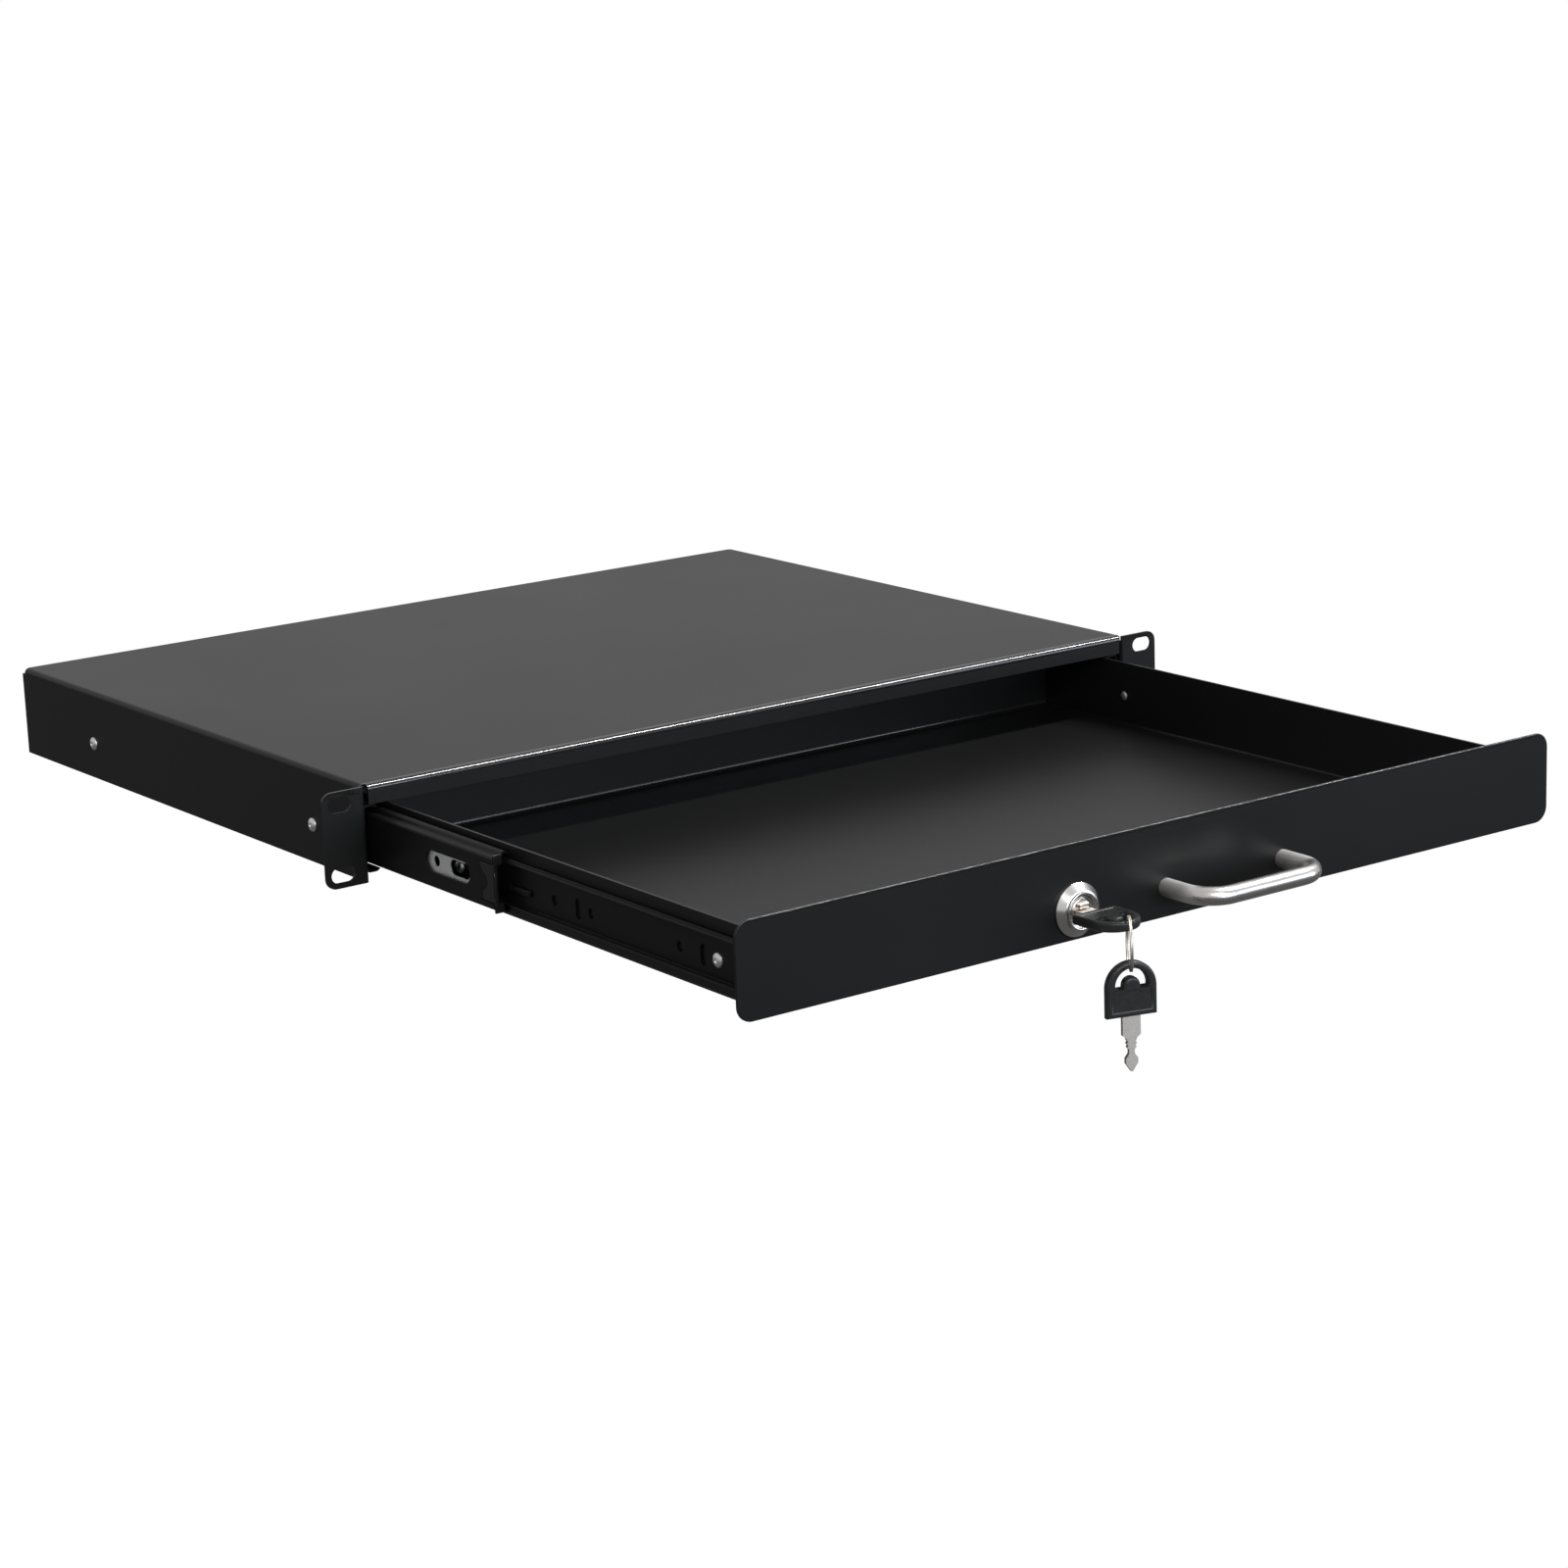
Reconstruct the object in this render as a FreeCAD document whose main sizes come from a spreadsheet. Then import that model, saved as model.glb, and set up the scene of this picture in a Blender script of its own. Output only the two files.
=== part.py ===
# 1U rack drawer for a 19-inch rack: folded casing, ball-bearing slides, tray, handle, cam lock and keys.
# Millimetres. +X is to the right as seen from the front, +Y to the rear, +Z up.
# Origin: the centre of the four ear slots, on the front face of the ears. The drawer stands open.

import FreeCAD, Part
import math
import os
import re
import Sketcher

V = FreeCAD.Vector

# ---------------------------------------------------------------- driving dimensions
SIZES = [
    # casing: one folded sheet
    ("sheet", 1.2, "thickness of the folded steel"),
    ("bend", 1.0, "inside radius of every fold"),
    ("ear_span", 482.6, "over both ears"),
    ("ear_reach", 20.8, "an ear beyond the casing's side"),
    ("case_depth", 340, "front of the ears to the back of the rear wall"),
    ("side_height", 43.6, "height of the sides and of the ears"),
    ("top_rise", 0.4, "how far the top stands above the ears"),
    ("lip_height", 8.9, "front lip folded down from the top"),
    ("corner_relief", 2.8, "cut at the corners of the top, where lip and rear wall begin"),
    ("ear_corner", 5, "outer corner radius of an ear"),
    ("slot_inset", 8.75, "slot's middle from the ear's outer edge"),
    ("slot_pitch_z", 31.75, "ear slots, up and down"),
    ("slot_length", 12, "end to end"),
    ("slot_width", 7, "across"),
    # slides
    ("rail_centre", -3, "height of the slide's middle"),
    ("rivet_line", -4.2, "height of the rivets, and of the holes in the rails"),
    ("outer_length", 334, "outer rail"),
    ("inner_length", 325, "inner rail"),
    ("rail_inset", 3.5, "outer rail's front end behind the ears"),
    ("outer_height", 31, "over the flanges of the outer rail"),
    ("outer_sheet", 1.1, "outer rail strip"),
    ("rail_sheet", 1.0, "middle and inner rail strip"),
    ("outer_corner", 1.4, "inside corner radius of the outer rail"),
    ("ridge", 0.3, "inside radius of the folded ridges beside the races"),
    ("outer_ball", 3.0, "diameter of the outer balls"),
    ("inner_ball", 2.5, "diameter of the inner balls"),
    ("ball_play", 0.05, "between ball and race"),
    ("race_wrap", 30, "degrees a race wraps past the vertical"),
    ("race_lean", 25, "degrees the line between the two races leans down"),
    ("lip_turn", 15, "degrees above level where the middle rail's lip ends"),
    ("web_gap", 1.275, "between the webs of outer and middle rail"),
    ("cage_sheet", 0.5, "ball cage strip"),
    ("cage_bend", 0.8, "centreline fold radius of the outer cage"),
    ("cage_gap", 0.45, "inner cage behind the middle rail's web"),
    ("middle_inset", 41.5, "middle rail's front end behind the ears when closed"),
    ("middle_length", 296, "middle rail"),
    ("travel_share", 0.5, "middle rail's share of the drawer's travel"),
    ("outer_cage_front", 63, "outer cage's front end at rest"),
    ("outer_cage_length", 109, "outer ball cage"),
    ("inner_cage_front", -83, "inner cage's front end at rest"),
    ("inner_cage_length", 116, "inner ball cage"),
    ("ball_margin", 8, "from a cage's end to its first ball"),
    ("window_front", -81, "front end of the middle rail's window"),
    ("window_length", 36, "window in the middle rail's web"),
    ("window_height", 9.5, "window in the middle rail's web"),
    ("bumper_length", 10.5, "bumper's part inside the middle rail"),
    ("bumper_nose", 1.8, "bumper's part before the rail"),
    ("bumper_play", 0.3, "between bumper and rail"),
    ("case_rivet_front", 47, "front casing rivet"),
    ("case_rivet_rear", 264, "rear casing rivet"),
    ("tray_rivet_front", -252.4, "front tray rivet at rest"),
    ("tray_rivet_rear", -15.7, "rear tray rivet at rest"),
    ("stud_place", -60.5, "stop stud at rest"),
    ("rivet_head", 6.4, "diameter of a rivet's dome"),
    ("rivet_dome", 1.4, "height of a rivet's dome"),
    ("rivet_shank", 3.2, "diameter of a rivet's shank"),
    ("rivet_tail", 0.8, "height of a rivet's tail"),
    ("hole_play", 0.1, "more on the diameter of rivet and screw holes"),
    # drawer
    ("opening", 284, "panel's face before the ears, as it stands"),
    ("closed_gap", 0.5, "panel's back before the ears when closed"),
    ("panel_overhang", 2.5, "front panel beyond the casing, each side"),
    ("panel_height", 41, "front panel"),
    ("panel_corner", 7, "front panel's corner radius"),
    ("tray_rear", 46.4, "outside of the tray's rear wall at rest"),
    ("tray_low", -19.5, "underside of the tray"),
    ("tray_top", 12.7, "top of the tray's walls"),
    ("seam", 0.4, "slit at the tray's corners"),
    # handle
    ("handle_x", 28.8, "handle's middle"),
    ("handle_pitch", 65.6, "between the handle's feet"),
    ("handle_rod", 8, "handle rod"),
    ("handle_reach", 30.3, "handle over the panel"),
    ("handle_bend", 13, "centreline bend radius"),
    ("lock_z", -7.7, "height of lock and handle"),
    ("screw", 4, "handle and cam screws"),
    ("screw_head", 8, "their head diameter"),
    ("screw_head_height", 2.4, "their head height"),
    ("screw_grip", 7, "handle screw's length inside the foot"),
    # lock
    ("lock_x", -52.5, "lock's axis"),
    ("bezel_radius", 11.5, "bezel at the panel"),
    ("bezel_edge", 1.0, "bezel's straight edge"),
    ("bezel_depth", 4.6, "bezel before the panel"),
    ("bezel_nose", 8.2, "bezel's radius at its nose"),
    ("bezel_recess", 7.0, "radius of the recess round the plug"),
    ("recess_depth", 1.4, "recess in the bezel's nose"),
    ("barrel_radius", 7.5, "barrel through the panel"),
    ("barrel_length", 18, "barrel behind the panel's face"),
    ("plug_radius", 5, "turning plug"),
    ("plug_play", 0.05, "plug in its bore"),
    ("plug_face", 3.6, "plug's face before the panel"),
    ("nut_flats", 19, "across the nut's flats"),
    ("nut_height", 4, "nut"),
    ("tang", 6, "square at the plug's rear"),
    ("cam_sheet", 1.8, "cam plate"),
    ("cam_reach", 25, "cam's tip from the axis"),
    ("cam_width", 12, "cam plate"),
    ("cam_step", 13, "where the cam's crank begins"),
    ("cam_crank", 12.5, "cam's tip before its root"),
    ("washer_radius", 5, "cam washer"),
    ("washer_height", 0.8, "cam washer"),
    # keys
    ("key_shoulder", 10.5, "bow's flat end before the panel"),
    ("bow_width", 22.2, "key bow"),
    ("bow_length", 23.2, "key bow"),
    ("bow_depth", 4.4, "thickness of the bow"),
    ("bow_round", 1.4, "rounding of the bow's edges"),
    ("bow_slot_outer", 7.2, "outer radius of the crescent slot"),
    ("bow_slot_rise", 0.8, "slot's centre beyond that of the bow's round end"),
    ("bow_slot_inner", 3.8, "radius of the bump in the slot"),
    ("blade_length", 23.5, "blade before the bow"),
    ("blade_width", 8, "blade at the bow"),
    ("blade_narrow", 4.6, "blade along its cuts"),
    ("blade_sheet", 1.8, "blade thickness"),
    ("blade_root", 8, "blade inside the bow"),
    ("key_play", 0.2, "round the blade in the keyway"),
    ("ring_radius", 11, "key ring's wire centre"),
    ("ring_wire", 1, "key ring's wire"),
    ("ring_cross", 5.5, "where the ring crosses the bow, from the slot's centre"),
    ("ring_round", 40, "degrees round the slot to that crossing"),
    ("ring_turn", 37, "degrees the ring stands off the key's length"),
    ("spare_turn", 16, "degrees the spare key is turned about its blade"),
    ("ring_lean", 38, "degrees of the ring's crossing below level"),
    ("ring_play", 0.5, "spare bow over the ring's wire"),
]

# sizes that follow from the ones above
DERIVED = {
    "case_width": "(ear_span - 2 * ear_reach)",
    "slot_pitch_x": "(ear_span - 2 * slot_inset)",
    "panel_width": "(case_width + 2 * panel_overhang)",
    "low": "(-side_height / 2)",
    "case_top": "(side_height / 2 + top_rise)",
    "case_inner": "(case_width / 2 - sheet)",
    "lip_low": "(case_top - lip_height)",
    "fold_half": "(case_width / 2 - corner_relief)",
    # slide section: u runs from the casing's wall to the tray, w up from the slide's middle
    "r_outer": "(outer_ball / 2 + ball_play)",
    "r_inner": "(inner_ball / 2 + ball_play)",
    "ridge_out": "(ridge + rail_sheet)",
    "wrap_sin": "sin(race_wrap * 1 deg)",
    "wrap_cos": "cos(race_wrap * 1 deg)",
    "ball_u": "(outer_sheet + web_gap + ridge_out + (r_outer + rail_sheet + ridge) * wrap_sin)",
    "ball_w": "(outer_height / 2 - outer_sheet - r_outer)",
    "race_step": "(r_outer + r_inner + rail_sheet)",
    "inner_u": "(ball_u + race_step * cos(race_lean * 1 deg))",
    "inner_w": "(ball_w - race_step * sin(race_lean * 1 deg))",
    "slide_depth": "(inner_u + (r_inner + rail_sheet + ridge) * wrap_sin + ridge_out)",
    "middle_web": "(outer_sheet + web_gap)",
    "inner_web": "(slide_depth - rail_sheet)",
    "tray_half": "(case_inner - slide_depth)",
    "travelled": "(opening - sheet - closed_gap)",
    "middle_front": "(middle_inset - travelled * travel_share)",
    "inner_front": "(rail_inset - travelled)",
    # drawer and lock
    "panel_face": "(-opening)",
    "panel_back": "(sheet - opening)",
    "wall_back": "(2 * sheet - opening)",
    "barrel_end": "(barrel_length - opening)",
    "cam_back": "(barrel_length + cam_sheet - opening)",
    "washer_back": "(cam_back + washer_height)",
    "shoulder": "(-opening - key_shoulder)",
    "bow_radius": "(bow_width / 2)",
    "bow_centre": "(bow_length - bow_radius)",
    "slot_centre": "(bow_centre + bow_slot_rise)",
}
FUNCTIONS = {"sin", "cos", "tan", "sqrt", "deg", "min", "max"}
WORD = re.compile(r"[A-Za-z_][A-Za-z_0-9]*")

doc = FreeCAD.newDocument("rack_drawer")
sheet = doc.addObject("Spreadsheet::Sheet", "Sizes")
for row, (alias, value, note) in enumerate(SIZES, start=1):
    sheet.set(f"A{row}", alias.replace("_", " "))
    sheet.set(f"B{row}", str(value))
    sheet.setAlias(f"B{row}", alias)
    sheet.set(f"C{row}", note)
doc.recompute()


def expr(text):
    """An expression in the names above, written out for FreeCAD."""
    def word(match):
        name = match.group(0)
        if name in FUNCTIONS:
            return name
        return expr(DERIVED[name]) if name in DERIVED else "Sizes." + name
    return WORD.sub(word, str(text))


def val(text):
    """The value of such an expression."""
    return float(sheet.evalExpression(expr(text)))


# ---------------------------------------------------------------- helpers for sketches and features
AXES = {"XY": ("x", "y", 1), "XZ": ("x", "z", -1), "YZ": ("y", "z", 1)}
parts = {}


def body(name):
    made = doc.addObject("PartDesign::Body", name)
    made.Label = name
    parts[name] = made
    return made


def sketch(owner, plane, level):
    """An empty sketch on a plane of the body, moved along the plane's world axis to `level`."""
    made = owner.newObject("Sketcher::SketchObject", owner.Name + "_sketch")
    planes = {item.Role: item for item in owner.Origin.OriginFeatures}
    made.AttachmentSupport = (planes[plane + "_Plane"], "")
    made.MapMode = "FlatFace"
    sign = "-" if plane == "XZ" else ""
    made.setExpression("AttachmentOffset.Base.z", f"{sign}({expr(level)})")
    return made


def pin(made, element, point, x, y):
    """Holds a point of a sketch at x, y."""
    for kind, text in (("DistanceX", x), ("DistanceY", y)):
        number = made.addConstraint(Sketcher.Constraint(kind, -1, 1, element, point, val(text)))
        made.setExpression(f"Constraints[{number}]", expr(text))


def hold_height(made, arc, y):
    """Holds the centre of an arc whose ends are already held at height y."""
    number = made.addConstraint(Sketcher.Constraint("DistanceY", -1, 1, arc, 3, val(y)))
    made.setExpression(f"Constraints[{number}]", expr(y))


def polygon(made, points):
    """A closed outline through points given as pairs of expressions."""
    spots = [V(val(x), val(y), 0) for x, y in points]
    first = made.GeometryCount
    count = len(points)
    for number in range(count):
        made.addGeometry(Part.LineSegment(spots[number], spots[(number + 1) % count]), False)
    for number in range(count):
        after = first + (number + 1) % count
        made.addConstraint(Sketcher.Constraint("Coincident", first + number, 2, after, 1))
    for number, (x, y) in enumerate(points):
        pin(made, first + number, 1, x, y)


def rectangle(made, x0, y0, x1, y1):
    polygon(made, [(x0, y0), (x1, y0), (x1, y1), (x0, y1)])


def circle(made, x, y, radius):
    number = made.addGeometry(Part.Circle(V(val(x), val(y), 0), V(0, 0, 1), val(radius)), False)
    pin(made, number, 3, x, y)
    held = made.addConstraint(Sketcher.Constraint("Radius", number, val(radius)))
    made.setExpression(f"Constraints[{held}]", expr(radius))


def slot(made, x, y, length, width):
    """A slot with round ends, its length along the sketch's x."""
    half = f"(({length}) / 2 - ({width}) / 2)"
    radius = val(width) / 2
    left = V(val(x) - val(half), val(y), 0)
    right = V(val(x) + val(half), val(y), 0)
    up = V(0, radius, 0)
    quarter = math.pi / 2
    a = made.addGeometry(Part.ArcOfCircle(Part.Circle(left, V(0, 0, 1), radius), quarter, 3 * quarter))
    b = made.addGeometry(Part.ArcOfCircle(Part.Circle(right, V(0, 0, 1), radius), -quarter, quarter))
    low = made.addGeometry(Part.LineSegment(left - up, right - up))
    top = made.addGeometry(Part.LineSegment(right + up, left + up))
    for one, two, three, four in ((a, 2, low, 1), (low, 2, b, 1), (b, 2, top, 1), (top, 2, a, 1)):
        made.addConstraint(Sketcher.Constraint("Coincident", one, two, three, four))
    pin(made, a, 3, f"({x}) - {half}", y)
    pin(made, b, 3, f"({x}) + {half}", y)
    for arc in (a, b):
        for end in (1, 2):
            made.addConstraint(Sketcher.Constraint("Vertical", arc, 3, arc, end))
    held = made.addConstraint(Sketcher.Constraint("Radius", a, radius))
    made.setExpression(f"Constraints[{held}]", expr(f"({width}) / 2"))
    made.addConstraint(Sketcher.Constraint("Horizontal", top))


def pad(owner, plane, start, end, draw):
    """Material between two levels along the plane's world axis; draw(sketch) makes the outline."""
    made = sketch(owner, plane, end if plane == "XZ" else start)
    draw(made)
    feature = owner.newObject("PartDesign::Pad", owner.Name + "_pad")
    feature.Profile = made
    feature.setExpression("Length", expr(f"({end}) - ({start})"))
    doc.recompute()
    return feature


def pocket(owner, plane, start, end, draw):
    """Material taken away between two levels along the plane's world axis."""
    made = sketch(owner, plane, start if plane == "XZ" else end)
    draw(made)
    before = owner.Shape.Volume
    feature = owner.newObject("PartDesign::Pocket", owner.Name + "_pocket")
    feature.Profile = made
    feature.setExpression("Length", expr(f"({end}) - ({start})"))
    doc.recompute()
    if owner.Shape.Volume > before - 1e-6:
        raise ValueError("a pocket in " + owner.Name + " cuts nothing")
    return feature


def round_edges(owner, radius, wanted, kind="Fillet"):
    """Rounds the edges of the tip for which wanted(edge) is true."""
    tip = owner.Tip
    names = [f"Edge{n}" for n, edge in enumerate(tip.Shape.Edges, start=1) if wanted(edge)]
    if not names:
        raise ValueError("no edge to round on " + owner.Name)
    feature = owner.newObject("PartDesign::" + kind, owner.Name + "_" + kind.lower())
    feature.Base = (tip, names)
    feature.setExpression("Radius" if kind == "Fillet" else "Size", expr(radius))
    doc.recompute()
    return feature


def near(one, two, slack=0.01):
    return abs(one - two) < slack


def along(edge, axis):
    """Whether a straight edge runs along an axis, 0 to 2."""
    if not isinstance(edge.Curve, Part.Line):
        return False
    return near(abs(edge.Curve.Direction[axis]), 1)


def turned(name, points):
    """A solid turned about its own Y axis, from (y, radius) pairs; the outline closes on the axis
    or runs round a bore."""
    made = body(name)
    outline = sketch(made, "YZ", 0)
    polygon(outline, points)
    feature = made.newObject("PartDesign::Revolution", name + "_turn")
    feature.Profile = outline
    feature.ReferenceAxis = (outline, ["H_Axis"])
    feature.Angle = 360
    doc.recompute()
    return made


def place(thing, x, y, z):
    """Binds the place of a sub-part."""
    for axis, text in zip("xyz", (x, y, z)):
        thing.setExpression("Placement.Base." + axis, expr(text))


def copies(name, source, spots):
    """A node of separate solids: the source repeated at x, y, z, turned half round where asked."""
    links = []
    for number, (x, y, z, half_turn) in enumerate(spots):
        link = doc.addObject("App::Link", f"{name}_{number}")
        link.LinkedObject = source
        if half_turn:
            link.Placement = FreeCAD.Placement(V(), FreeCAD.Rotation(V(0, 0, 1), 180))
        place(link, x, y, z)
        links.append(link)
    group = doc.addObject("Part::Compound", name)
    group.Label = name
    group.Links = links
    parts[name] = group
    return group


def mirrored(name, source):
    """The right-hand copy of a left-hand piece."""
    made = doc.addObject("Part::Mirroring", name)
    made.Label = name
    made.Source = source
    made.Normal = V(1, 0, 0)
    parts[name] = made
    return made


# ---------------------------------------------------------------- casing
def make_casing():
    case = body("casing")
    half = "case_width / 2"
    pad(case, "XZ", "0", "case_depth", lambda s: polygon(s, [
        (f"-({half})", "low"), (f"-({half})", "case_top"), (half, "case_top"), (half, "low"),
        ("case_inner", "low"), ("case_inner", "case_top - sheet"),
        ("-(case_inner)", "case_top - sheet"), ("-(case_inner)", "low")]))
    top = val("case_top")
    wide = val(half)
    thick = val("sheet")
    round_edges(case, "bend + sheet", lambda e: along(e, 1) and near(e.BoundBox.ZMax, top)
                and near(abs(e.BoundBox.XMax), wide))
    round_edges(case, "bend", lambda e: along(e, 1) and near(e.BoundBox.ZMax, top - thick)
                and near(abs(e.BoundBox.XMax), wide - thick))

    def corners(made):
        for side in ("-", ""):
            for start, end in (("-1", "corner_relief"), ("case_depth - corner_relief", "case_depth + 1")):
                rectangle(made, f"{side}(fold_half)", start, f"{side}({half} + 1)", end)
    pocket(case, "XY", "case_top - corner_relief", "case_top + 1", corners)

    pad(case, "XZ", "0", "sheet",
        lambda s: rectangle(s, "-(fold_half)", "lip_low", "fold_half", "case_top"))
    pad(case, "XZ", "case_depth - sheet", "case_depth",
        lambda s: rectangle(s, "-(fold_half)", "low", "fold_half", "case_top"))
    deep = val("case_depth")
    round_edges(case, "bend + sheet", lambda e: along(e, 0) and near(e.BoundBox.ZMax, top)
                and (near(e.BoundBox.YMin, 0) or near(e.BoundBox.YMax, deep)))
    round_edges(case, "bend", lambda e: along(e, 0) and near(e.BoundBox.ZMax, top - thick)
                and (near(e.BoundBox.YMin, thick) or near(e.BoundBox.YMax, deep - thick)))

    def ears(made):
        for side in ("-", ""):
            rectangle(made, f"{side}(ear_span / 2)", "low", f"{side}(case_inner)", "-(low)")
    pad(case, "XZ", "0", "sheet", ears)
    span = val("ear_span / 2")
    round_edges(case, "ear_corner",
                lambda e: along(e, 1) and near(abs(e.BoundBox.XMax), span))
    round_edges(case, "bend + sheet", lambda e: along(e, 2) and near(e.BoundBox.YMax, 0)
                and near(abs(e.BoundBox.XMax), wide - thick))
    round_edges(case, "bend", lambda e: along(e, 2) and near(e.BoundBox.YMax, thick)
                and near(abs(e.BoundBox.XMax), wide) and e.Length > 5)

    def slots(made):
        for x in ("-slot_pitch_x / 2", "slot_pitch_x / 2"):
            for z in ("-slot_pitch_z / 2", "slot_pitch_z / 2"):
                slot(made, x, z, "slot_length", "slot_width")
    pocket(case, "XZ", "-1", "sheet + 1", slots)

    def holes(made):
        for y in ("case_rivet_front", "case_rivet_rear"):
            circle(made, y, "rivet_line", "(rivet_shank + hole_play) / 2")
    pocket(case, "YZ", f"-({half} + 1)", f"{half} + 1", holes)
    return case


# ---------------------------------------------------------------- ball slides
def strip(start, heading, steps, thickness):
    """The section of a rolled strip, the same above and below the u axis. The upper half's path
    starts at `start`, towards `heading` degrees, and goes on by ("run", length) and
    ("bend", centreline radius, degrees to the left)."""
    left, right = [], []
    spot = V(*start)
    for step in steps:
        ahead = V(math.cos(math.radians(heading)), math.sin(math.radians(heading)), 0)
        side = V(-ahead.y, ahead.x, 0) * (thickness / 2)
        if step[0] == "run":
            after = spot + ahead * step[1]
            left.append(Part.LineSegment(spot + side, after + side).toShape())
            right.append(Part.LineSegment(spot - side, after - side).toShape())
        else:
            radius, turn = step[1], step[2]
            hand = 1 if turn > 0 else -1
            centre = spot + side.normalize() * radius * hand
            edges = []
            for reach in (radius - hand * thickness / 2, radius + hand * thickness / 2):
                spokes = []
                for part_way in (0, 0.5, 1):
                    angle = math.radians(heading - hand * 90 + turn * part_way)
                    spokes.append(centre + V(math.cos(angle), math.sin(angle), 0) * reach)
                edges.append(Part.Arc(*spokes).toShape())
            left.append(edges[0])
            right.append(edges[1])
            angle = math.radians(heading - hand * 90 + turn)
            after = centre + V(math.cos(angle), math.sin(angle), 0) * radius
            heading += turn
        spot = after
    last = Part.LineSegment(left[-1].lastVertex(True).Point, right[-1].lastVertex(True).Point)
    upper = left + right + [last.toShape()]
    lower = [edge.mirror(V(), V(0, 1, 0)) for edge in upper]
    return Part.Face(Part.Wire(Part.__sortEdges__(upper + lower)))


def section(name, face):
    """The section of a rail, standing across the left slide."""
    face.rotate(V(), V(1, 0, 0), 90)
    made = doc.addObject("Part::Feature", name)
    made.Shape = face
    place(made, "-(case_inner)", "0", "rail_centre")
    return made


def rolled(name, face, front, length):
    """A rail or cage: the section drawn out to its length."""
    outline = section(name + "_section", face)
    made = doc.addObject("Part::Extrusion", name + "_strip")
    made.Base = outline
    made.DirMode = "Custom"
    made.Dir = V(0, 1, 0)
    made.Solid = True
    made.setExpression("LengthFwd", expr(length))
    outline.setExpression("Placement.Base.y", expr(front))
    doc.recompute()
    return made


def outer_section():
    thick = val("outer_sheet")
    radius = val("outer_corner") + thick / 2
    upright = val("outer_height / 2") - thick / 2 - radius
    level = val("ball_u") - thick / 2 - radius
    return strip((thick / 2, 0, 0), 90, [
        ("run", upright), ("bend", radius, -90), ("run", level),
        ("bend", val("r_outer") + thick / 2, val("race_wrap") - 90)], thick)


def middle_section():
    thick = val("rail_sheet")
    ridge = val("ridge") + thick / 2
    wrap, lean = val("race_wrap"), val("race_lean")
    upright = val("ball_w - (r_outer + rail_sheet + ridge) * wrap_cos")
    return strip((val("middle_web") + thick / 2, 0, 0), 90, [
        ("run", upright), ("bend", ridge, -90 - wrap),
        ("bend", val("r_outer") + thick / 2, 90 + wrap - lean),
        ("bend", val("r_inner") + thick / 2, val("lip_turn") - 180 + lean)], thick)


def inner_section():
    thick = val("rail_sheet")
    wrap = val("race_wrap")
    upright = val("inner_w - (r_inner + rail_sheet + ridge) * wrap_cos")
    return strip((val("inner_web") + thick / 2, 0, 0), 90, [
        ("run", upright), ("bend", val("ridge") + thick / 2, 90 + wrap),
        ("bend", val("r_inner") + thick / 2, -2 * wrap)], thick)


def outer_cage_section():
    web = val("outer_sheet + web_gap / 2")
    bend = val("cage_bend")
    return strip((web, 0, 0), 90, [
        ("run", val("ball_w") - bend), ("bend", bend, -90),
        ("run", val("ball_u + outer_ball * 0.4") - web - bend)], val("cage_sheet"))


CAGE_SLOPE = 35


def inner_cage_section():
    web = val("middle_web + rail_sheet + cage_gap + cage_sheet / 2")
    slope = math.radians(CAGE_SLOPE)
    bend = 2 * val("cage_bend")
    cut = bend * math.tan((math.pi / 2 - slope) / 2)
    reach = val("inner_u") - web
    corner = val("inner_w") - reach * math.tan(slope)
    return strip((web, 0, 0), 90, [
        ("run", corner - cut), ("bend", bend, CAGE_SLOPE - 90),
        ("run", reach / math.cos(slope) - cut + val("inner_ball") * 0.4)], val("cage_sheet"))


def across(name, y, z, radius, side="-"):
    """A drill through a left slide, along X."""
    made = doc.addObject("Part::Cylinder", name)
    made.setExpression("Radius", expr(radius))
    made.setExpression("Height", expr("slide_depth + 2 * sheet + 2"))
    made.Placement = FreeCAD.Placement(V(), FreeCAD.Rotation(V(0, 1, 0), 90))
    place(made, "-(case_inner) - sheet - 1", y, z)
    return made


def across_box(name, y, z, length, height):
    """A square cut through a left slide, along X, centred on y and z."""
    made = doc.addObject("Part::Box", name)
    made.setExpression("Length", expr("slide_depth + 2 * sheet + 2"))
    made.setExpression("Width", expr(length))
    made.setExpression("Height", expr(height))
    place(made, "-(case_inner) - sheet - 1", f"{y} - ({length}) / 2", f"{z} - ({height}) / 2")
    return made


def obround(name, y, z, length, height):
    """A cut with round ends through a left slide; its longer side is along Y or along Z."""
    flat = val(length) > val(height)
    radius = f"({height}) / 2" if flat else f"({length}) / 2"
    shift = f"(({length}) - ({height})) / 2" if flat else f"(({height}) - ({length})) / 2"
    tools = []
    for number, sign in enumerate(("-", "+")):
        if flat:
            tools.append(across(f"{name}_end{number}", f"{y} {sign} {shift}", z, radius))
        else:
            tools.append(across(f"{name}_end{number}", y, f"{z} {sign} {shift}", radius))
    if flat:
        tools.append(across_box(f"{name}_middle", y, z, f"({length}) - ({height})", height))
    else:
        tools.append(across_box(f"{name}_middle", y, z, length, f"({height}) - ({length})"))
    made = doc.addObject("Part::MultiFuse", name)
    made.Shapes = tools
    return made


def cut(name, base, tools):
    gathered = tools[0]
    if len(tools) > 1:
        gathered = doc.addObject("Part::MultiFuse", name + "_cuts")
        gathered.Shapes = tools
    made = doc.addObject("Part::Cut", name)
    made.Label = name
    made.Base = base
    made.Tool = gathered
    doc.recompute()
    parts[name] = made
    return made


BALLS = 5


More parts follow.
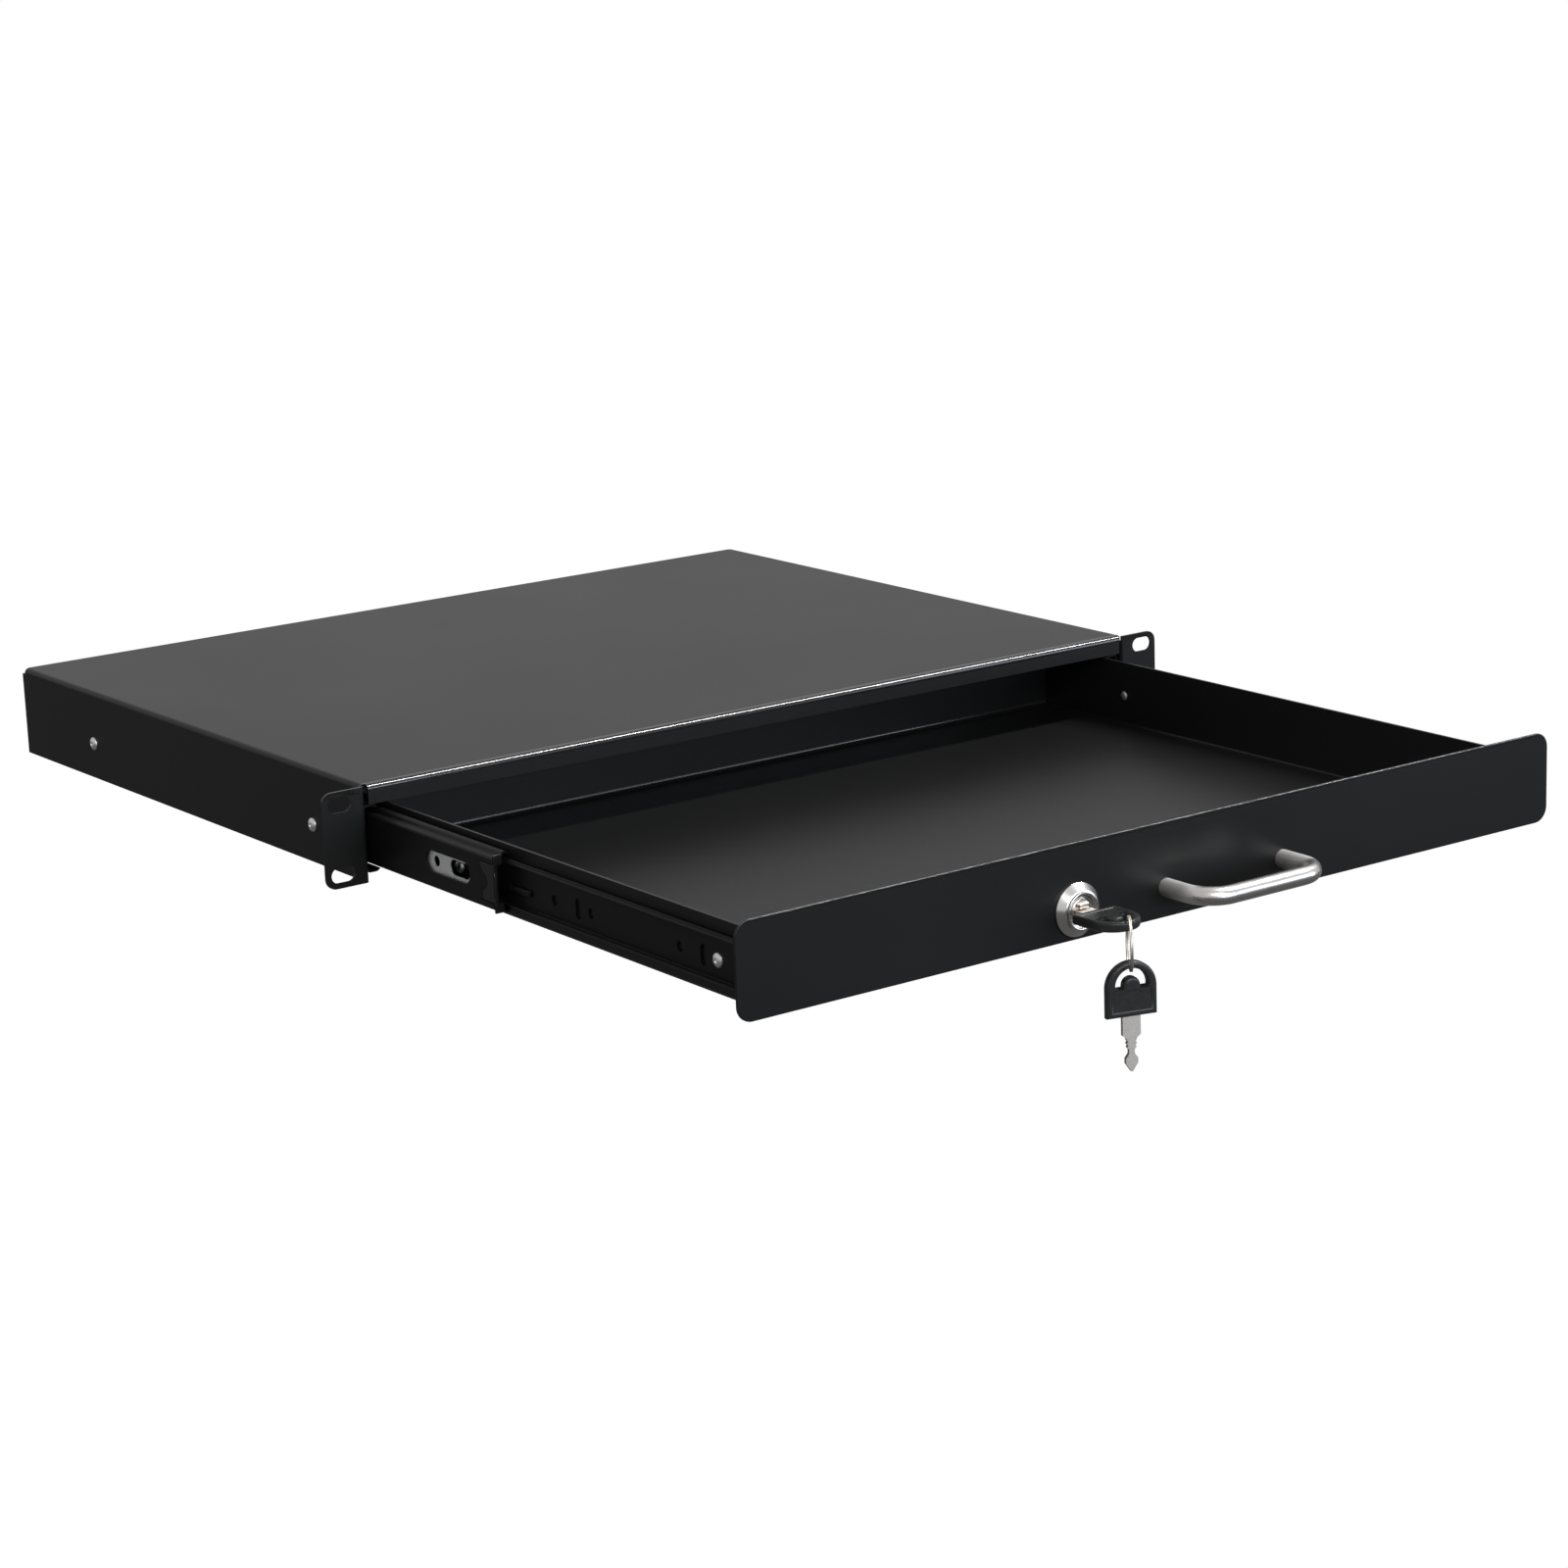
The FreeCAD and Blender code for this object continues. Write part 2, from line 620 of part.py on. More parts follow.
def ball_rows(name, u, w, front, length, diameter):
    """The balls of one cage, in an upper and a lower row."""
    balls = []
    for sign in ("+", "-"):
        for number in range(BALLS):
            ball = doc.addObject("Part::Sphere", f"{name}_ball")
            ball.setExpression("Radius", expr(f"({diameter}) / 2"))
            step = f"(({length}) - 2 * ball_margin) / {BALLS - 1} * {number}"
            place(ball, f"-(case_inner) + {u}", f"({front}) + ball_margin + {step}",
                  f"rail_centre {sign} {w}")
            balls.append(ball)
    made = doc.addObject("Part::Compound", name)
    made.Label = name
    made.Links = balls
    parts[name] = made
    return made


def ball_holes(name, u, w, front, length, radius, tilt):
    """Drills for the balls, square to the part of the cage that holds them."""
    tools = []
    for sign in (1, -1):
        for number in range(BALLS):
            tool = doc.addObject("Part::Cylinder", f"{name}_hole")
            tool.setExpression("Radius", expr(radius))
            tool.setExpression("Height", expr(f"2 * ({radius})"))
            lean = FreeCAD.Rotation(V(0, 1, 0), -tilt * sign)
            ahead = lean.multVec(V(0, 0, 1))
            tool.Placement = FreeCAD.Placement(V(), lean)
            step = f"(({length}) - 2 * ball_margin) / {BALLS - 1} * {number}"
            way = "+" if sign > 0 else "-"
            place(tool, f"-(case_inner) + {u} - ({ahead.x}) * ({radius})",
                  f"({front}) + ball_margin + {step}",
                  f"rail_centre {way} {w} - ({ahead.z}) * ({radius})")
            tools.append(tool)
    return tools


def make_slides():
    drill = "(rivet_shank + hole_play) / 2"
    outer = rolled("outer_rail_left", outer_section(), "rail_inset", "outer_length")
    outer = cut("outer_rail_left", outer, [
        across("outer_rail_drill", "case_rivet_front", "rivet_line", drill),
        across("outer_rail_drill", "case_rivet_rear", "rivet_line", drill),
        obround("outer_rail_slot", "case_rivet_front + 32", "rivet_line", "9", "5"),
        obround("outer_rail_slot", "case_rivet_rear - 32", "rivet_line", "9", "5")])

    middle = rolled("middle_rail_left", middle_section(), "middle_front", "middle_length")
    middle = cut("middle_rail_left", middle, [
        obround("middle_window", "window_front + window_length / 2", "rail_centre + 0.5",
                "window_length", "window_height"),
        obround("middle_rear_window", "middle_front + middle_length - 42", "rail_centre",
                "window_length", "window_height"),
        across_box("middle_notch", "middle_front", "rail_centre",
                   "2 * bumper_length + 2 * bumper_play", "middle_notch_height")])

    inner = rolled("inner_rail_left", inner_section(), "inner_front", "inner_length")
    tools = [across("inner_drill", "tray_rivet_front", "rivet_line", drill),
             across("inner_drill", "tray_rivet_rear", "rivet_line", drill),
             across("inner_drill", "stud_place", "rivet_line", drill)]
    for y in ("-135", "-162.3", "-226.1"):
        tools.append(across("inner_hole", y, "rivet_line", "2.2"))
    for y in ("-152.8", "-242.3"):
        tools.append(obround("inner_slot", y, "rivet_line", "4", "9"))
    inner = cut("inner_rail_left", inner, tools)

    cage = rolled("outer_cage_left", outer_cage_section(), "outer_cage_front", "outer_cage_length")
    cut("outer_cage_left", cage, ball_holes(
        "outer_cage", "ball_u", "ball_w", "outer_cage_front", "outer_cage_length", "r_outer", 0))
    cage = rolled("inner_cage_left", inner_cage_section(), "inner_cage_front", "inner_cage_length")
    tools = ball_holes("inner_cage", "inner_u", "inner_w", "inner_cage_front", "inner_cage_length",
                       "r_inner", CAGE_SLOPE)
    tools.append(across("cage_hole", "window_front + window_length - 7", "rail_centre + 0.5", "2.4"))
    tools.append(obround("cage_slot", "window_front + 10", "rail_centre + 0.5", "16", "7"))
    cut("inner_cage_left", cage, tools)
    ball_rows("outer_balls_left", "ball_u", "ball_w", "outer_cage_front", "outer_cage_length",
              "outer_ball")
    ball_rows("inner_balls_left", "inner_u", "inner_w", "inner_cage_front", "inner_cage_length",
              "inner_ball")
    doc.recompute()


DERIVED["middle_notch_height"] = "17"


def make_bumper():
    """Plastic nose clipped into the middle rail's web, with two horns over the ball races."""
    made = body("bumper_left")
    inside = "-(case_inner) + middle_web + rail_sheet + bumper_play"
    face = "-(case_inner) + middle_web"
    tall = "(middle_notch_height / 2 - bumper_play)"
    front = "middle_front - bumper_nose"
    pad(made, "XZ", front, "middle_front + bumper_length", lambda s: rectangle(
        s, face, f"rail_centre - {tall}", face + " + rail_sheet", f"rail_centre + {tall}"))
    pad(made, "XZ", front, "middle_front - bumper_play", lambda s: polygon(s, [
        (face, f"rail_centre - {tall} - 4.5"), (face, f"rail_centre + {tall} + 4.5"),
        (inside + " + 3.1", f"rail_centre + {tall} + 4.5"),
        (inside + " + 3.1", f"rail_centre + {tall} + 1"),
        (inside + " + 1.6", f"rail_centre + {tall} - 2.5"),
        (inside + " + 1.6", f"rail_centre - {tall} + 2.5"),
        (inside + " + 3.1", f"rail_centre - {tall} - 1"),
        (inside + " + 3.1", f"rail_centre - {tall} - 4.5")]))
    return made


def make_rivets():
    """Dome-headed pop rivets: through the casing's wall into the outer rail, and through the inner
    rail into the tray's wall."""
    def rivet(name, grip):
        made = turned(name, [
            ("-rivet_dome", "0"), ("-rivet_dome", "rivet_head / 2"), ("0", "rivet_head / 2"),
            ("0", "rivet_shank / 2"), (grip, "rivet_shank / 2"), (grip, "rivet_shank * 0.7"),
            (f"{grip} + rivet_tail", "rivet_shank * 0.7"), (f"{grip} + rivet_tail", "0")])
        dome = val("rivet_dome")
        round_edges(made, "rivet_dome * 0.9", lambda e: near(e.BoundBox.YMax, -dome)
                    and isinstance(e.Curve, Part.Circle))
        return made

    def row(name, source, side, places):
        links = []
        for sign, turn in (("-", -90), ("", 90)):
            for y in places:
                link = doc.addObject("App::Link", name + "_link")
                link.LinkedObject = source
                link.Placement = FreeCAD.Placement(V(), FreeCAD.Rotation(V(0, 0, 1), turn))
                place(link, f"{sign}({side})", y, "rivet_line")
                links.append(link)
        made = doc.addObject("Part::Compound", name)
        made.Label = name
        made.Links = links
        parts[name] = made

    outside = rivet("casing_rivet", "(sheet + outer_sheet)")
    row("casing_rivets", outside, "case_width / 2", ["case_rivet_front", "case_rivet_rear"])
    inside = rivet("tray_rivet", "(rail_sheet + sheet)")
    row("tray_rivets", inside, "tray_half + rail_sheet", ["tray_rivet_front", "tray_rivet_rear"])
    stud = turned("stop_stud", [
        ("-rivet_dome", "0"), ("-rivet_dome", "rivet_head / 2"), ("0", "rivet_head / 2"),
        ("0", "rivet_shank / 2"), ("rail_sheet", "rivet_shank / 2"), ("rail_sheet", "0")])
    row("stop_studs", stud, "tray_half + rail_sheet", ["stud_place"])
    for name in ("casing_rivet", "tray_rivet", "stop_stud"):
        del parts[name]
    doc.recompute()


# ---------------------------------------------------------------- tray and front panel
def make_tray():
    tray = body("drawer_tray")
    pad(tray, "XY", "tray_low", "tray_top",
        lambda s: rectangle(s, "-(tray_half)", "panel_back", "tray_half", "tray_rear"))
    pocket(tray, "XY", "tray_low + sheet", "tray_top", lambda s: rectangle(
        s, "-(tray_half) + sheet", "panel_back + sheet", "tray_half - sheet", "tray_rear - sheet"))
    floor = val("tray_low")
    thick = val("sheet")
    round_edges(tray, "bend", lambda e: near(e.BoundBox.ZMax, floor + thick)
                and near(e.BoundBox.ZMin, floor + thick))
    round_edges(tray, "bend + sheet", lambda e: near(e.BoundBox.ZMax, floor)
                and near(e.BoundBox.ZMin, floor))

    def seams(made):
        for side in ("-", ""):
            for y in ("panel_back", "tray_rear - sheet"):
                rectangle(made, f"{side}(tray_half - sheet - seam)", y,
                          f"{side}(tray_half - sheet)", f"{y} + sheet")
    pocket(tray, "XY", "tray_low + 2 * sheet + bend", "tray_top", seams)

    def holes(made):
        for y in ("tray_rivet_front", "tray_rivet_rear"):
            circle(made, y, "rivet_line", "(rivet_shank + hole_play) / 2")
    pocket(tray, "YZ", "-(tray_half) - 1", "tray_half + 1", holes)
    front_holes(tray, "panel_back - 1", "wall_back + 1")
    return tray


def front_holes(owner, start, end):
    """Holes for the lock's barrel and the handle's screws."""
    def draw(made):
        circle(made, "lock_x", "lock_z", "barrel_radius + hole_play / 2")
        for sign in ("-", "+"):
            circle(made, f"handle_x {sign} handle_pitch / 2", "lock_z", "(screw + hole_play) / 2")
    pocket(owner, "XZ", start, end, draw)


def make_panel():
    panel = body("front_panel")
    half = "panel_width / 2"
    tall = "panel_height / 2"
    pad(panel, "XZ", "panel_face", "panel_back",
        lambda s: rectangle(s, f"-{half}", f"-{tall}", half, tall))
    round_edges(panel, "panel_corner", lambda e: along(e, 1))
    front_holes(panel, "panel_face - 1", "panel_back + 1")
    return panel


# ---------------------------------------------------------------- handle
def make_handle():
    handle = body("handle")
    profile = sketch(handle, "XZ", "panel_face")
    circle(profile, "handle_x - handle_pitch / 2", "lock_z", "handle_rod / 2")
    path = sketch(handle, "XY", "lock_z")
    left, right = "handle_x - handle_pitch / 2", "handle_x + handle_pitch / 2"
    bar = "panel_face - handle_reach + handle_rod / 2"
    radius = val("handle_bend")
    x0, x1, y0, y1 = val(left), val(right), val("panel_face"), val(bar)
    quarter = math.pi / 2
    first = path.addGeometry(Part.LineSegment(V(x0, y0, 0), V(x0, y1 + radius, 0)))
    bend_a = path.addGeometry(Part.ArcOfCircle(
        Part.Circle(V(x0 + radius, y1 + radius, 0), V(0, 0, 1), radius), 2 * quarter, 3 * quarter))
    middle = path.addGeometry(Part.LineSegment(V(x0 + radius, y1, 0), V(x1 - radius, y1, 0)))
    bend_b = path.addGeometry(Part.ArcOfCircle(
        Part.Circle(V(x1 - radius, y1 + radius, 0), V(0, 0, 1), radius), 3 * quarter, 4 * quarter))
    last = path.addGeometry(Part.LineSegment(V(x1, y1 + radius, 0), V(x1, y0, 0)))
    for one, two in ((first, bend_a), (bend_a, middle), (middle, bend_b), (bend_b, last)):
        path.addConstraint(Sketcher.Constraint("Coincident", one, 2, two, 1))
    pin(path, first, 1, left, "panel_face")
    pin(path, first, 2, left, f"{bar} + handle_bend")
    pin(path, middle, 1, f"{left} + handle_bend", bar)
    pin(path, middle, 2, f"{right} - handle_bend", bar)
    pin(path, last, 1, right, f"{bar} + handle_bend")
    pin(path, last, 2, right, "panel_face")
    for bend in (bend_a, bend_b):
        held = path.addConstraint(Sketcher.Constraint("Radius", bend, radius))
        path.setExpression(f"Constraints[{held}]", expr("handle_bend"))
    doc.recompute()
    pipe = handle.newObject("PartDesign::AdditivePipe", "handle_pipe")
    pipe.Profile = profile
    pipe.Spine = (path, [f"Edge{n}" for n in range(1, 6)])
    doc.recompute()

    def taps(made):
        for x in (left, right):
            circle(made, x, "lock_z", "(screw + hole_play) / 2")
    pocket(handle, "XZ", "panel_face - screw_grip - 1", "panel_face", taps)
    return handle


def make_handle_screws():
    """Pan-head screws from inside the tray, through wall and panel into the handle's feet."""
    made = turned("handle_screw", [
        ("wall_back + screw_head_height", "0"), ("wall_back + screw_head_height", "screw_head / 2"),
        ("wall_back", "screw_head / 2"), ("wall_back", "screw / 2"),
        ("panel_face - screw_grip", "screw / 2"), ("panel_face - screw_grip", "0")])
    high = val("wall_back + screw_head_height")
    round_edges(made, "screw_head_height * 0.5", lambda e: near(e.BoundBox.YMin, high)
                and isinstance(e.Curve, Part.Circle))
    copies("handle_screws", made, [
        (f"handle_x {sign} handle_pitch / 2", "0", "lock_z", False) for sign in ("-", "+")])
    del parts["handle_screw"]


# ---------------------------------------------------------------- cam lock
def make_lock():
    f = "panel_face"
    bore = "plug_radius + plug_play"
    housing = turned("lock_housing", [
        (f, "bezel_radius"), (f"{f} - bezel_edge", "bezel_radius"),
        (f"{f} - bezel_depth", "bezel_nose"), (f"{f} - bezel_depth", "bezel_recess"),
        (f"{f} - bezel_depth + recess_depth", "bezel_recess"),
        (f"{f} - bezel_depth + recess_depth", bore), ("barrel_end", bore),
        ("barrel_end", "barrel_radius"), (f, "barrel_radius")])
    place(housing, "lock_x", "0", "lock_z")

    nut = body("lock_nut")
    flat = "nut_flats / 2"
    corner = "nut_flats / sqrt(3)"

    def outline(made):
        polygon(made, [(corner, "0"), (f"{corner} / 2", flat), (f"-({corner}) / 2", flat),
                       (f"-({corner})", "0"), (f"-({corner}) / 2", f"-{flat}"),
                       (f"{corner} / 2", f"-{flat}")])
        circle(made, "0", "0", "barrel_radius + hole_play / 2")
    pad(nut, "XZ", "wall_back", "wall_back + nut_height", outline)
    place(nut, "lock_x", "0", "lock_z")

    plug = turned("lock_plug", [
        (f"{f} - plug_face", "0"), (f"{f} - plug_face", "plug_radius"),
        ("barrel_end", "plug_radius"), ("barrel_end", "0")])
    square = "tang / 2"
    pad(plug, "XZ", "barrel_end - 1", "cam_back - 0.1",
        lambda s: rectangle(s, f"-{square}", f"-{square}", square, square))
    wide = "blade_width / 2 + key_play"
    thin = "blade_sheet / 2 + key_play"
    pocket(plug, "XZ", f"{f} - plug_face - 1", "shoulder + blade_length + 0.4",
           lambda s: rectangle(s, f"-({wide})", f"-({thin})", wide, thin))
    pocket(plug, "XZ", "barrel_end - 3", "cam_back + 1",
           lambda s: circle(s, "0", "0", "(screw + hole_play) / 2"))
    place(plug, "lock_x", "0", "lock_z")

    make_cam()
    washer = turned("cam_washer", [
        ("cam_back", "(screw + hole_play) / 2"), ("washer_back", "(screw + hole_play) / 2"),
        ("washer_back", "washer_radius"), ("cam_back", "washer_radius")])
    place(washer, "lock_x", "0", "lock_z")
    head = "washer_back + screw_head_height"
    screw = turned("cam_screw", [
        (head, "0"), (head, "screw_head / 2"), ("washer_back", "screw_head / 2"),
        ("washer_back", "screw / 2"), ("barrel_end - 2.8", "screw / 2"), ("barrel_end - 2.8", "0")])
    high = val(head)
    round_edges(screw, "screw_head_height * 0.5", lambda e: near(e.BoundBox.YMin, high)
                and isinstance(e.Curve, Part.Circle))
    place(screw, "lock_x", "0", "lock_z")


def make_cam():
    """Cranked lever: root plate on the plug's square, a step forward, and the tip plate that turns up
    behind the casing's lip."""
    cam = body("lock_cam")
    half = "cam_width / 2"
    step = "-(cam_step)"
    tip = "barrel_end - cam_crank"
    pad(cam, "XY", f"-({half})", half, lambda s: polygon(s, [
        ("washer_radius + 2", "barrel_end"), ("washer_radius + 2", "cam_back"),
        (f"{step} - cam_sheet", "cam_back"), (f"{step} - cam_sheet", f"{tip} + cam_sheet"),
        ("-(cam_reach)", f"{tip} + cam_sheet"), ("-(cam_reach)", tip), (step, tip),
        (step, "barrel_end")]))
    reach = val("cam_reach")
    root = val("washer_radius + 2")
    round_edges(cam, "cam_width * 0.35", lambda e: along(e, 1) and (
        near(e.BoundBox.XMin, -reach) or near(e.BoundBox.XMax, root)))
    outer_fold, inner_fold = val("cam_back"), val("barrel_end")
    low_fold, high_fold = val(tip), val(f"{tip} + cam_sheet")
    at = val(step)
    thick = val("cam_sheet")

    def outer_edge(edge):
        box = edge.BoundBox
        rear = near(box.YMin, outer_fold) and near(box.XMin, at - thick)
        return along(edge, 2) and (rear or (near(box.YMin, low_fold) and near(box.XMin, at)))

    def inner_edge(edge):
        box = edge.BoundBox
        rear = near(box.YMin, inner_fold) and near(box.XMin, at)
        return along(edge, 2) and (rear or (near(box.YMin, high_fold) and near(box.XMin, at - thick)))
    round_edges(cam, "cam_sheet + 0.6", outer_edge)
    round_edges(cam, "0.6", inner_edge)
    square = "tang / 2 + hole_play / 2"
    pocket(cam, "XZ", "barrel_end - 1", "cam_back + 1",
           lambda s: rectangle(s, f"-({square})", f"-({square})", square, square))
    place(cam, "lock_x", "0", "lock_z")
    return cam


# ---------------------------------------------------------------- keys
# A key is drawn flat: its blade along +Y from the shoulder, its bow along -Y, its thickness in Z.
def make_blade(name):
    blade = body(name)
    wide, slim = "blade_width / 2", "blade_narrow / 2"
    cuts = [  # along the blade from its wide part, and how deep the cut is
        ("0.42", "0"), ("0.46", "0.6"), ("0.49", "0"), ("0.53", "0.7"), ("0.56", "0.2"),
        ("0.60", "1.0"), ("0.64", "1.1"), ("0.68", "1.0")]
    right = [("blade_root_half", "-blade_root"), ("blade_root_half", "0"), (wide, "0"),
             (wide, "blade_length * 0.34"), (slim, "blade_length * 0.40")]
    right += [(f"{slim} - {deep}", f"blade_length * {share}") for share, deep in cuts]
    right += [(f"{slim} + 0.4", "blade_length * 0.76"), (f"{slim} + 0.4", "blade_length * 0.85"),
              ("0.3", "blade_length")]
    left = [(f"-({x})", y) for x, y in reversed(right)]
    half = "blade_sheet / 2"
    pad(blade, "XY", f"-({half})", half, lambda s: polygon(s, right + left))
    pocket(blade, "XY", f"{half} - 0.5", half, lambda s: rectangle(
        s, "-0.55", "blade_length * 0.4", "0.55", "blade_length * 0.9"))
    return blade


DERIVED["blade_root_half"] = "(blade_narrow / 2)"


def make_bow(name):
    """D-shaped plastic bow with a crescent slot, moulded over the blade's root."""
    bow = body(name)
    half = "bow_depth / 2"
    wide = "bow_radius"

    def outline(made):
        radius = val(wide)
        centre = V(0, -val("bow_centre"), 0)
        low = V(0, centre.y, 0)
        end = made.addGeometry(Part.ArcOfCircle(
            Part.Circle(centre, V(0, 0, 1), radius), math.pi, 2 * math.pi))
        right = made.addGeometry(Part.LineSegment(V(radius, low.y, 0), V(radius, 0, 0)))
        flat = made.addGeometry(Part.LineSegment(V(radius, 0, 0), V(-radius, 0, 0)))
        left = made.addGeometry(Part.LineSegment(V(-radius, 0, 0), V(-radius, low.y, 0)))
        for one, two in ((end, right), (right, flat), (flat, left), (left, end)):
            made.addConstraint(Sketcher.Constraint("Coincident", one, 2, two, 1))
        pin(made, right, 1, wide, "-(bow_centre)")
        pin(made, flat, 1, wide, "0")
        pin(made, flat, 2, f"-({wide})", "0")
        pin(made, left, 2, f"-({wide})", "-(bow_centre)")
        hold_height(made, end, "-(bow_centre)")
    pad(bow, "XY", f"-({half})", half, outline)
    outer, inner = "bow_slot_outer", "bow_slot_inner"

    def crescent(made):
        big, small = val(outer), val(inner)
        middle, end = (big + small) / 2, (big - small) / 2
        level = -val("slot_centre")
        far = made.addGeometry(Part.ArcOfCircle(
            Part.Circle(V(0, level, 0), V(0, 0, 1), big), math.pi, 2 * math.pi))
        bump = made.addGeometry(Part.ArcOfCircle(
            Part.Circle(V(0, level, 0), V(0, 0, 1), small), math.pi, 2 * math.pi))
        left = made.addGeometry(Part.ArcOfCircle(
            Part.Circle(V(-middle, level, 0), V(0, 0, 1), end), 0, math.pi))
        right = made.addGeometry(Part.ArcOfCircle(
            Part.Circle(V(middle, level, 0), V(0, 0, 1), end), 0, math.pi))
        for one, two, three, four in ((far, 1, left, 2), (left, 1, bump, 1), (bump, 2, right, 2),
                                      (right, 1, far, 2)):
            made.addConstraint(Sketcher.Constraint("Coincident", one, two, three, four))
        for arc, reach in ((far, outer), (bump, inner)):
            pin(made, arc, 1, f"-({reach})", "-(slot_centre)")
            pin(made, arc, 2, reach, "-(slot_centre)")
        for arc in (far, bump, left, right):
            hold_height(made, arc, "-(slot_centre)")
    pocket(bow, "XY", f"-({half})", half, crescent)
    deep = val(half)
    round_edges(bow, "bow_round", lambda e: near(abs(e.BoundBox.ZMin), deep)
                and near(e.BoundBox.ZMin, e.BoundBox.ZMax) and e.BoundBox.YMax < -0.01)
    root = "blade_root_half + key_play / 4"
    thin = "blade_sheet / 2 + key_play / 4"
    pocket(bow, "XZ", "-blade_root - 0.2", "0",
           lambda s: rectangle(s, f"-({root})", f"-({thin})", root, thin))
    return bow


def make_keys():
    for name, maker in (("key_blade", make_blade), ("key_bow", make_bow)):
        place(maker(name), "lock_x", "shoulder", "lock_z")
    # the ring crosses the first bow's slot and leans out; the spare key hangs at its lowest point
    reach = "ring_radius * cos(ring_lean * 1 deg)"
    ring_x = (f"lock_x + ring_cross * sin(ring_round * 1 deg)"
              f" - {reach} * sin(ring_turn * 1 deg)")
    ring_y = (f"shoulder - slot_centre - ring_cross * cos(ring_round * 1 deg)"
              f" - {reach} * cos(ring_turn * 1 deg)")
    ring_z = "lock_z - ring_radius * sin(ring_lean * 1 deg)"
    turns = []
    for side in ("-", "+"):
        turn = doc.addObject("Part::Torus", "key_ring_turn")
        turn.setExpression("Radius1", expr("ring_radius"))
        turn.setExpression("Radius2", expr("ring_wire / 2"))
        across_ring = V(math.cos(math.radians(val("ring_turn"))),
                        -math.sin(math.radians(val("ring_turn"))), 0)
        turn.Placement = FreeCAD.Placement(V(), FreeCAD.Rotation(V(0, 0, 1), across_ring))
        shift = "ring_wire * 0.47"
        place(turn, f"{ring_x} {side} {shift} * cos(ring_turn * 1 deg)",
              f"{ring_y} {'+' if side == '-' else '-'} {shift} * sin(ring_turn * 1 deg)", ring_z)
        turns.append(turn)
    ring = doc.addObject("Part::MultiFuse", "key_ring")
    ring.Label = "key_ring"
    ring.Shapes = turns
    parts["key_ring"] = ring
    hang = FreeCAD.Rotation(V(0, 0, 1), -val("spare_turn")).multiply(
        FreeCAD.Rotation(V(1, 0, 0), -90))
    drop = "ring_radius - ring_wire / 2 - ring_play + bow_slot_outer + slot_centre"
    for name, maker in (("spare_key_blade", make_blade), ("spare_key_bow", make_bow)):
        made = maker(name)
        made.Placement = FreeCAD.Placement(V(), hang)
        place(made, ring_x, ring_y, f"{ring_z} - ({drop})")


# ---------------------------------------------------------------- build and export
make_casing()
make_slides()
make_bumper()
make_rivets()
make_tray()
make_panel()
make_handle()
make_handle_screws()
make_lock()
make_keys()
doc.recompute()
for name in ("outer_rail", "middle_rail", "inner_rail", "outer_cage", "inner_cage",
             "outer_balls", "inner_balls", "bumper"):
    mirrored(name + "_right", parts[name + "_left"])
doc.recompute()

for item in doc.Objects:
    if "Invalid" in item.State or "Error" in item.State:
        raise ValueError(f"{item.Name} failed: {item.State}")
os.makedirs("parts", exist_ok=True)
for name, made in sorted(parts.items()):
    shape = made.Shape
    if shape.isNull() or not shape.isValid() or not shape.Solids:
        raise ValueError(name + " has no valid shape")
    shape.exportStep(f"parts/{name}.step")
    box = shape.BoundBox
    print(f"{name:20} solids {len(shape.Solids):3} volume {shape.Volume:10.1f} "
          f"x {box.XMin:8.2f} {box.XMax:8.2f} y {box.YMin:8.2f} {box.YMax:8.2f} "
          f"z {box.ZMin:7.2f} {box.ZMax:7.2f}")
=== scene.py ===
import bmesh
import bpy
import math
from mathutils import Matrix, Vector


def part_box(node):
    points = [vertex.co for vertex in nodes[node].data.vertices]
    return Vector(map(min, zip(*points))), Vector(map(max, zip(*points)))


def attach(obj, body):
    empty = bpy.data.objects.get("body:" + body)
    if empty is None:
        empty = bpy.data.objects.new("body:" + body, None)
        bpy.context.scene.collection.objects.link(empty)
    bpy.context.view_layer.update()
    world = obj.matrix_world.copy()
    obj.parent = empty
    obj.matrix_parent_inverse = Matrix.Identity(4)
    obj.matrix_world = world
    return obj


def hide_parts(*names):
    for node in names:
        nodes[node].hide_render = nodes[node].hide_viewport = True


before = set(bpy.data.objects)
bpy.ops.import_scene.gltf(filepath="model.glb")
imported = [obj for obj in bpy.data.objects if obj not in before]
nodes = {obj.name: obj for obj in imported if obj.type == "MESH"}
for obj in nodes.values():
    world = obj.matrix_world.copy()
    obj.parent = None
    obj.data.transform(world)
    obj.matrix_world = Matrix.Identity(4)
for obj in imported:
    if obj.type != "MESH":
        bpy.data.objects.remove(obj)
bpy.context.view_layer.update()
bpy.context.scene.view_settings.view_transform = "Standard"


# ---------------------------------------------------------------- camera
# A long lens held a little above the drawer, in front of it and to its left, tipped two degrees.
camera_data = bpy.data.cameras.new("camera")
camera_data.sensor_width = 36
camera_data.lens = 90.26
camera_data.clip_start = 0.05
camera_data.clip_end = 60
camera = bpy.data.objects.new("camera", camera_data)
bpy.context.scene.collection.objects.link(camera)
bpy.context.scene.camera = camera
camera_right = Vector((0.8058243, -0.5911027, -0.0352823))
camera_up = Vector((0.1715113, 0.1759550, 0.9693419))
camera_back = Vector((-0.5667725, -0.7871706, 0.2431696))
camera.matrix_world = Matrix.Translation((-1.04838, -1.46628, 0.43583)) @ Matrix(
    (camera_right, camera_up, camera_back)).transposed().to_4x4()


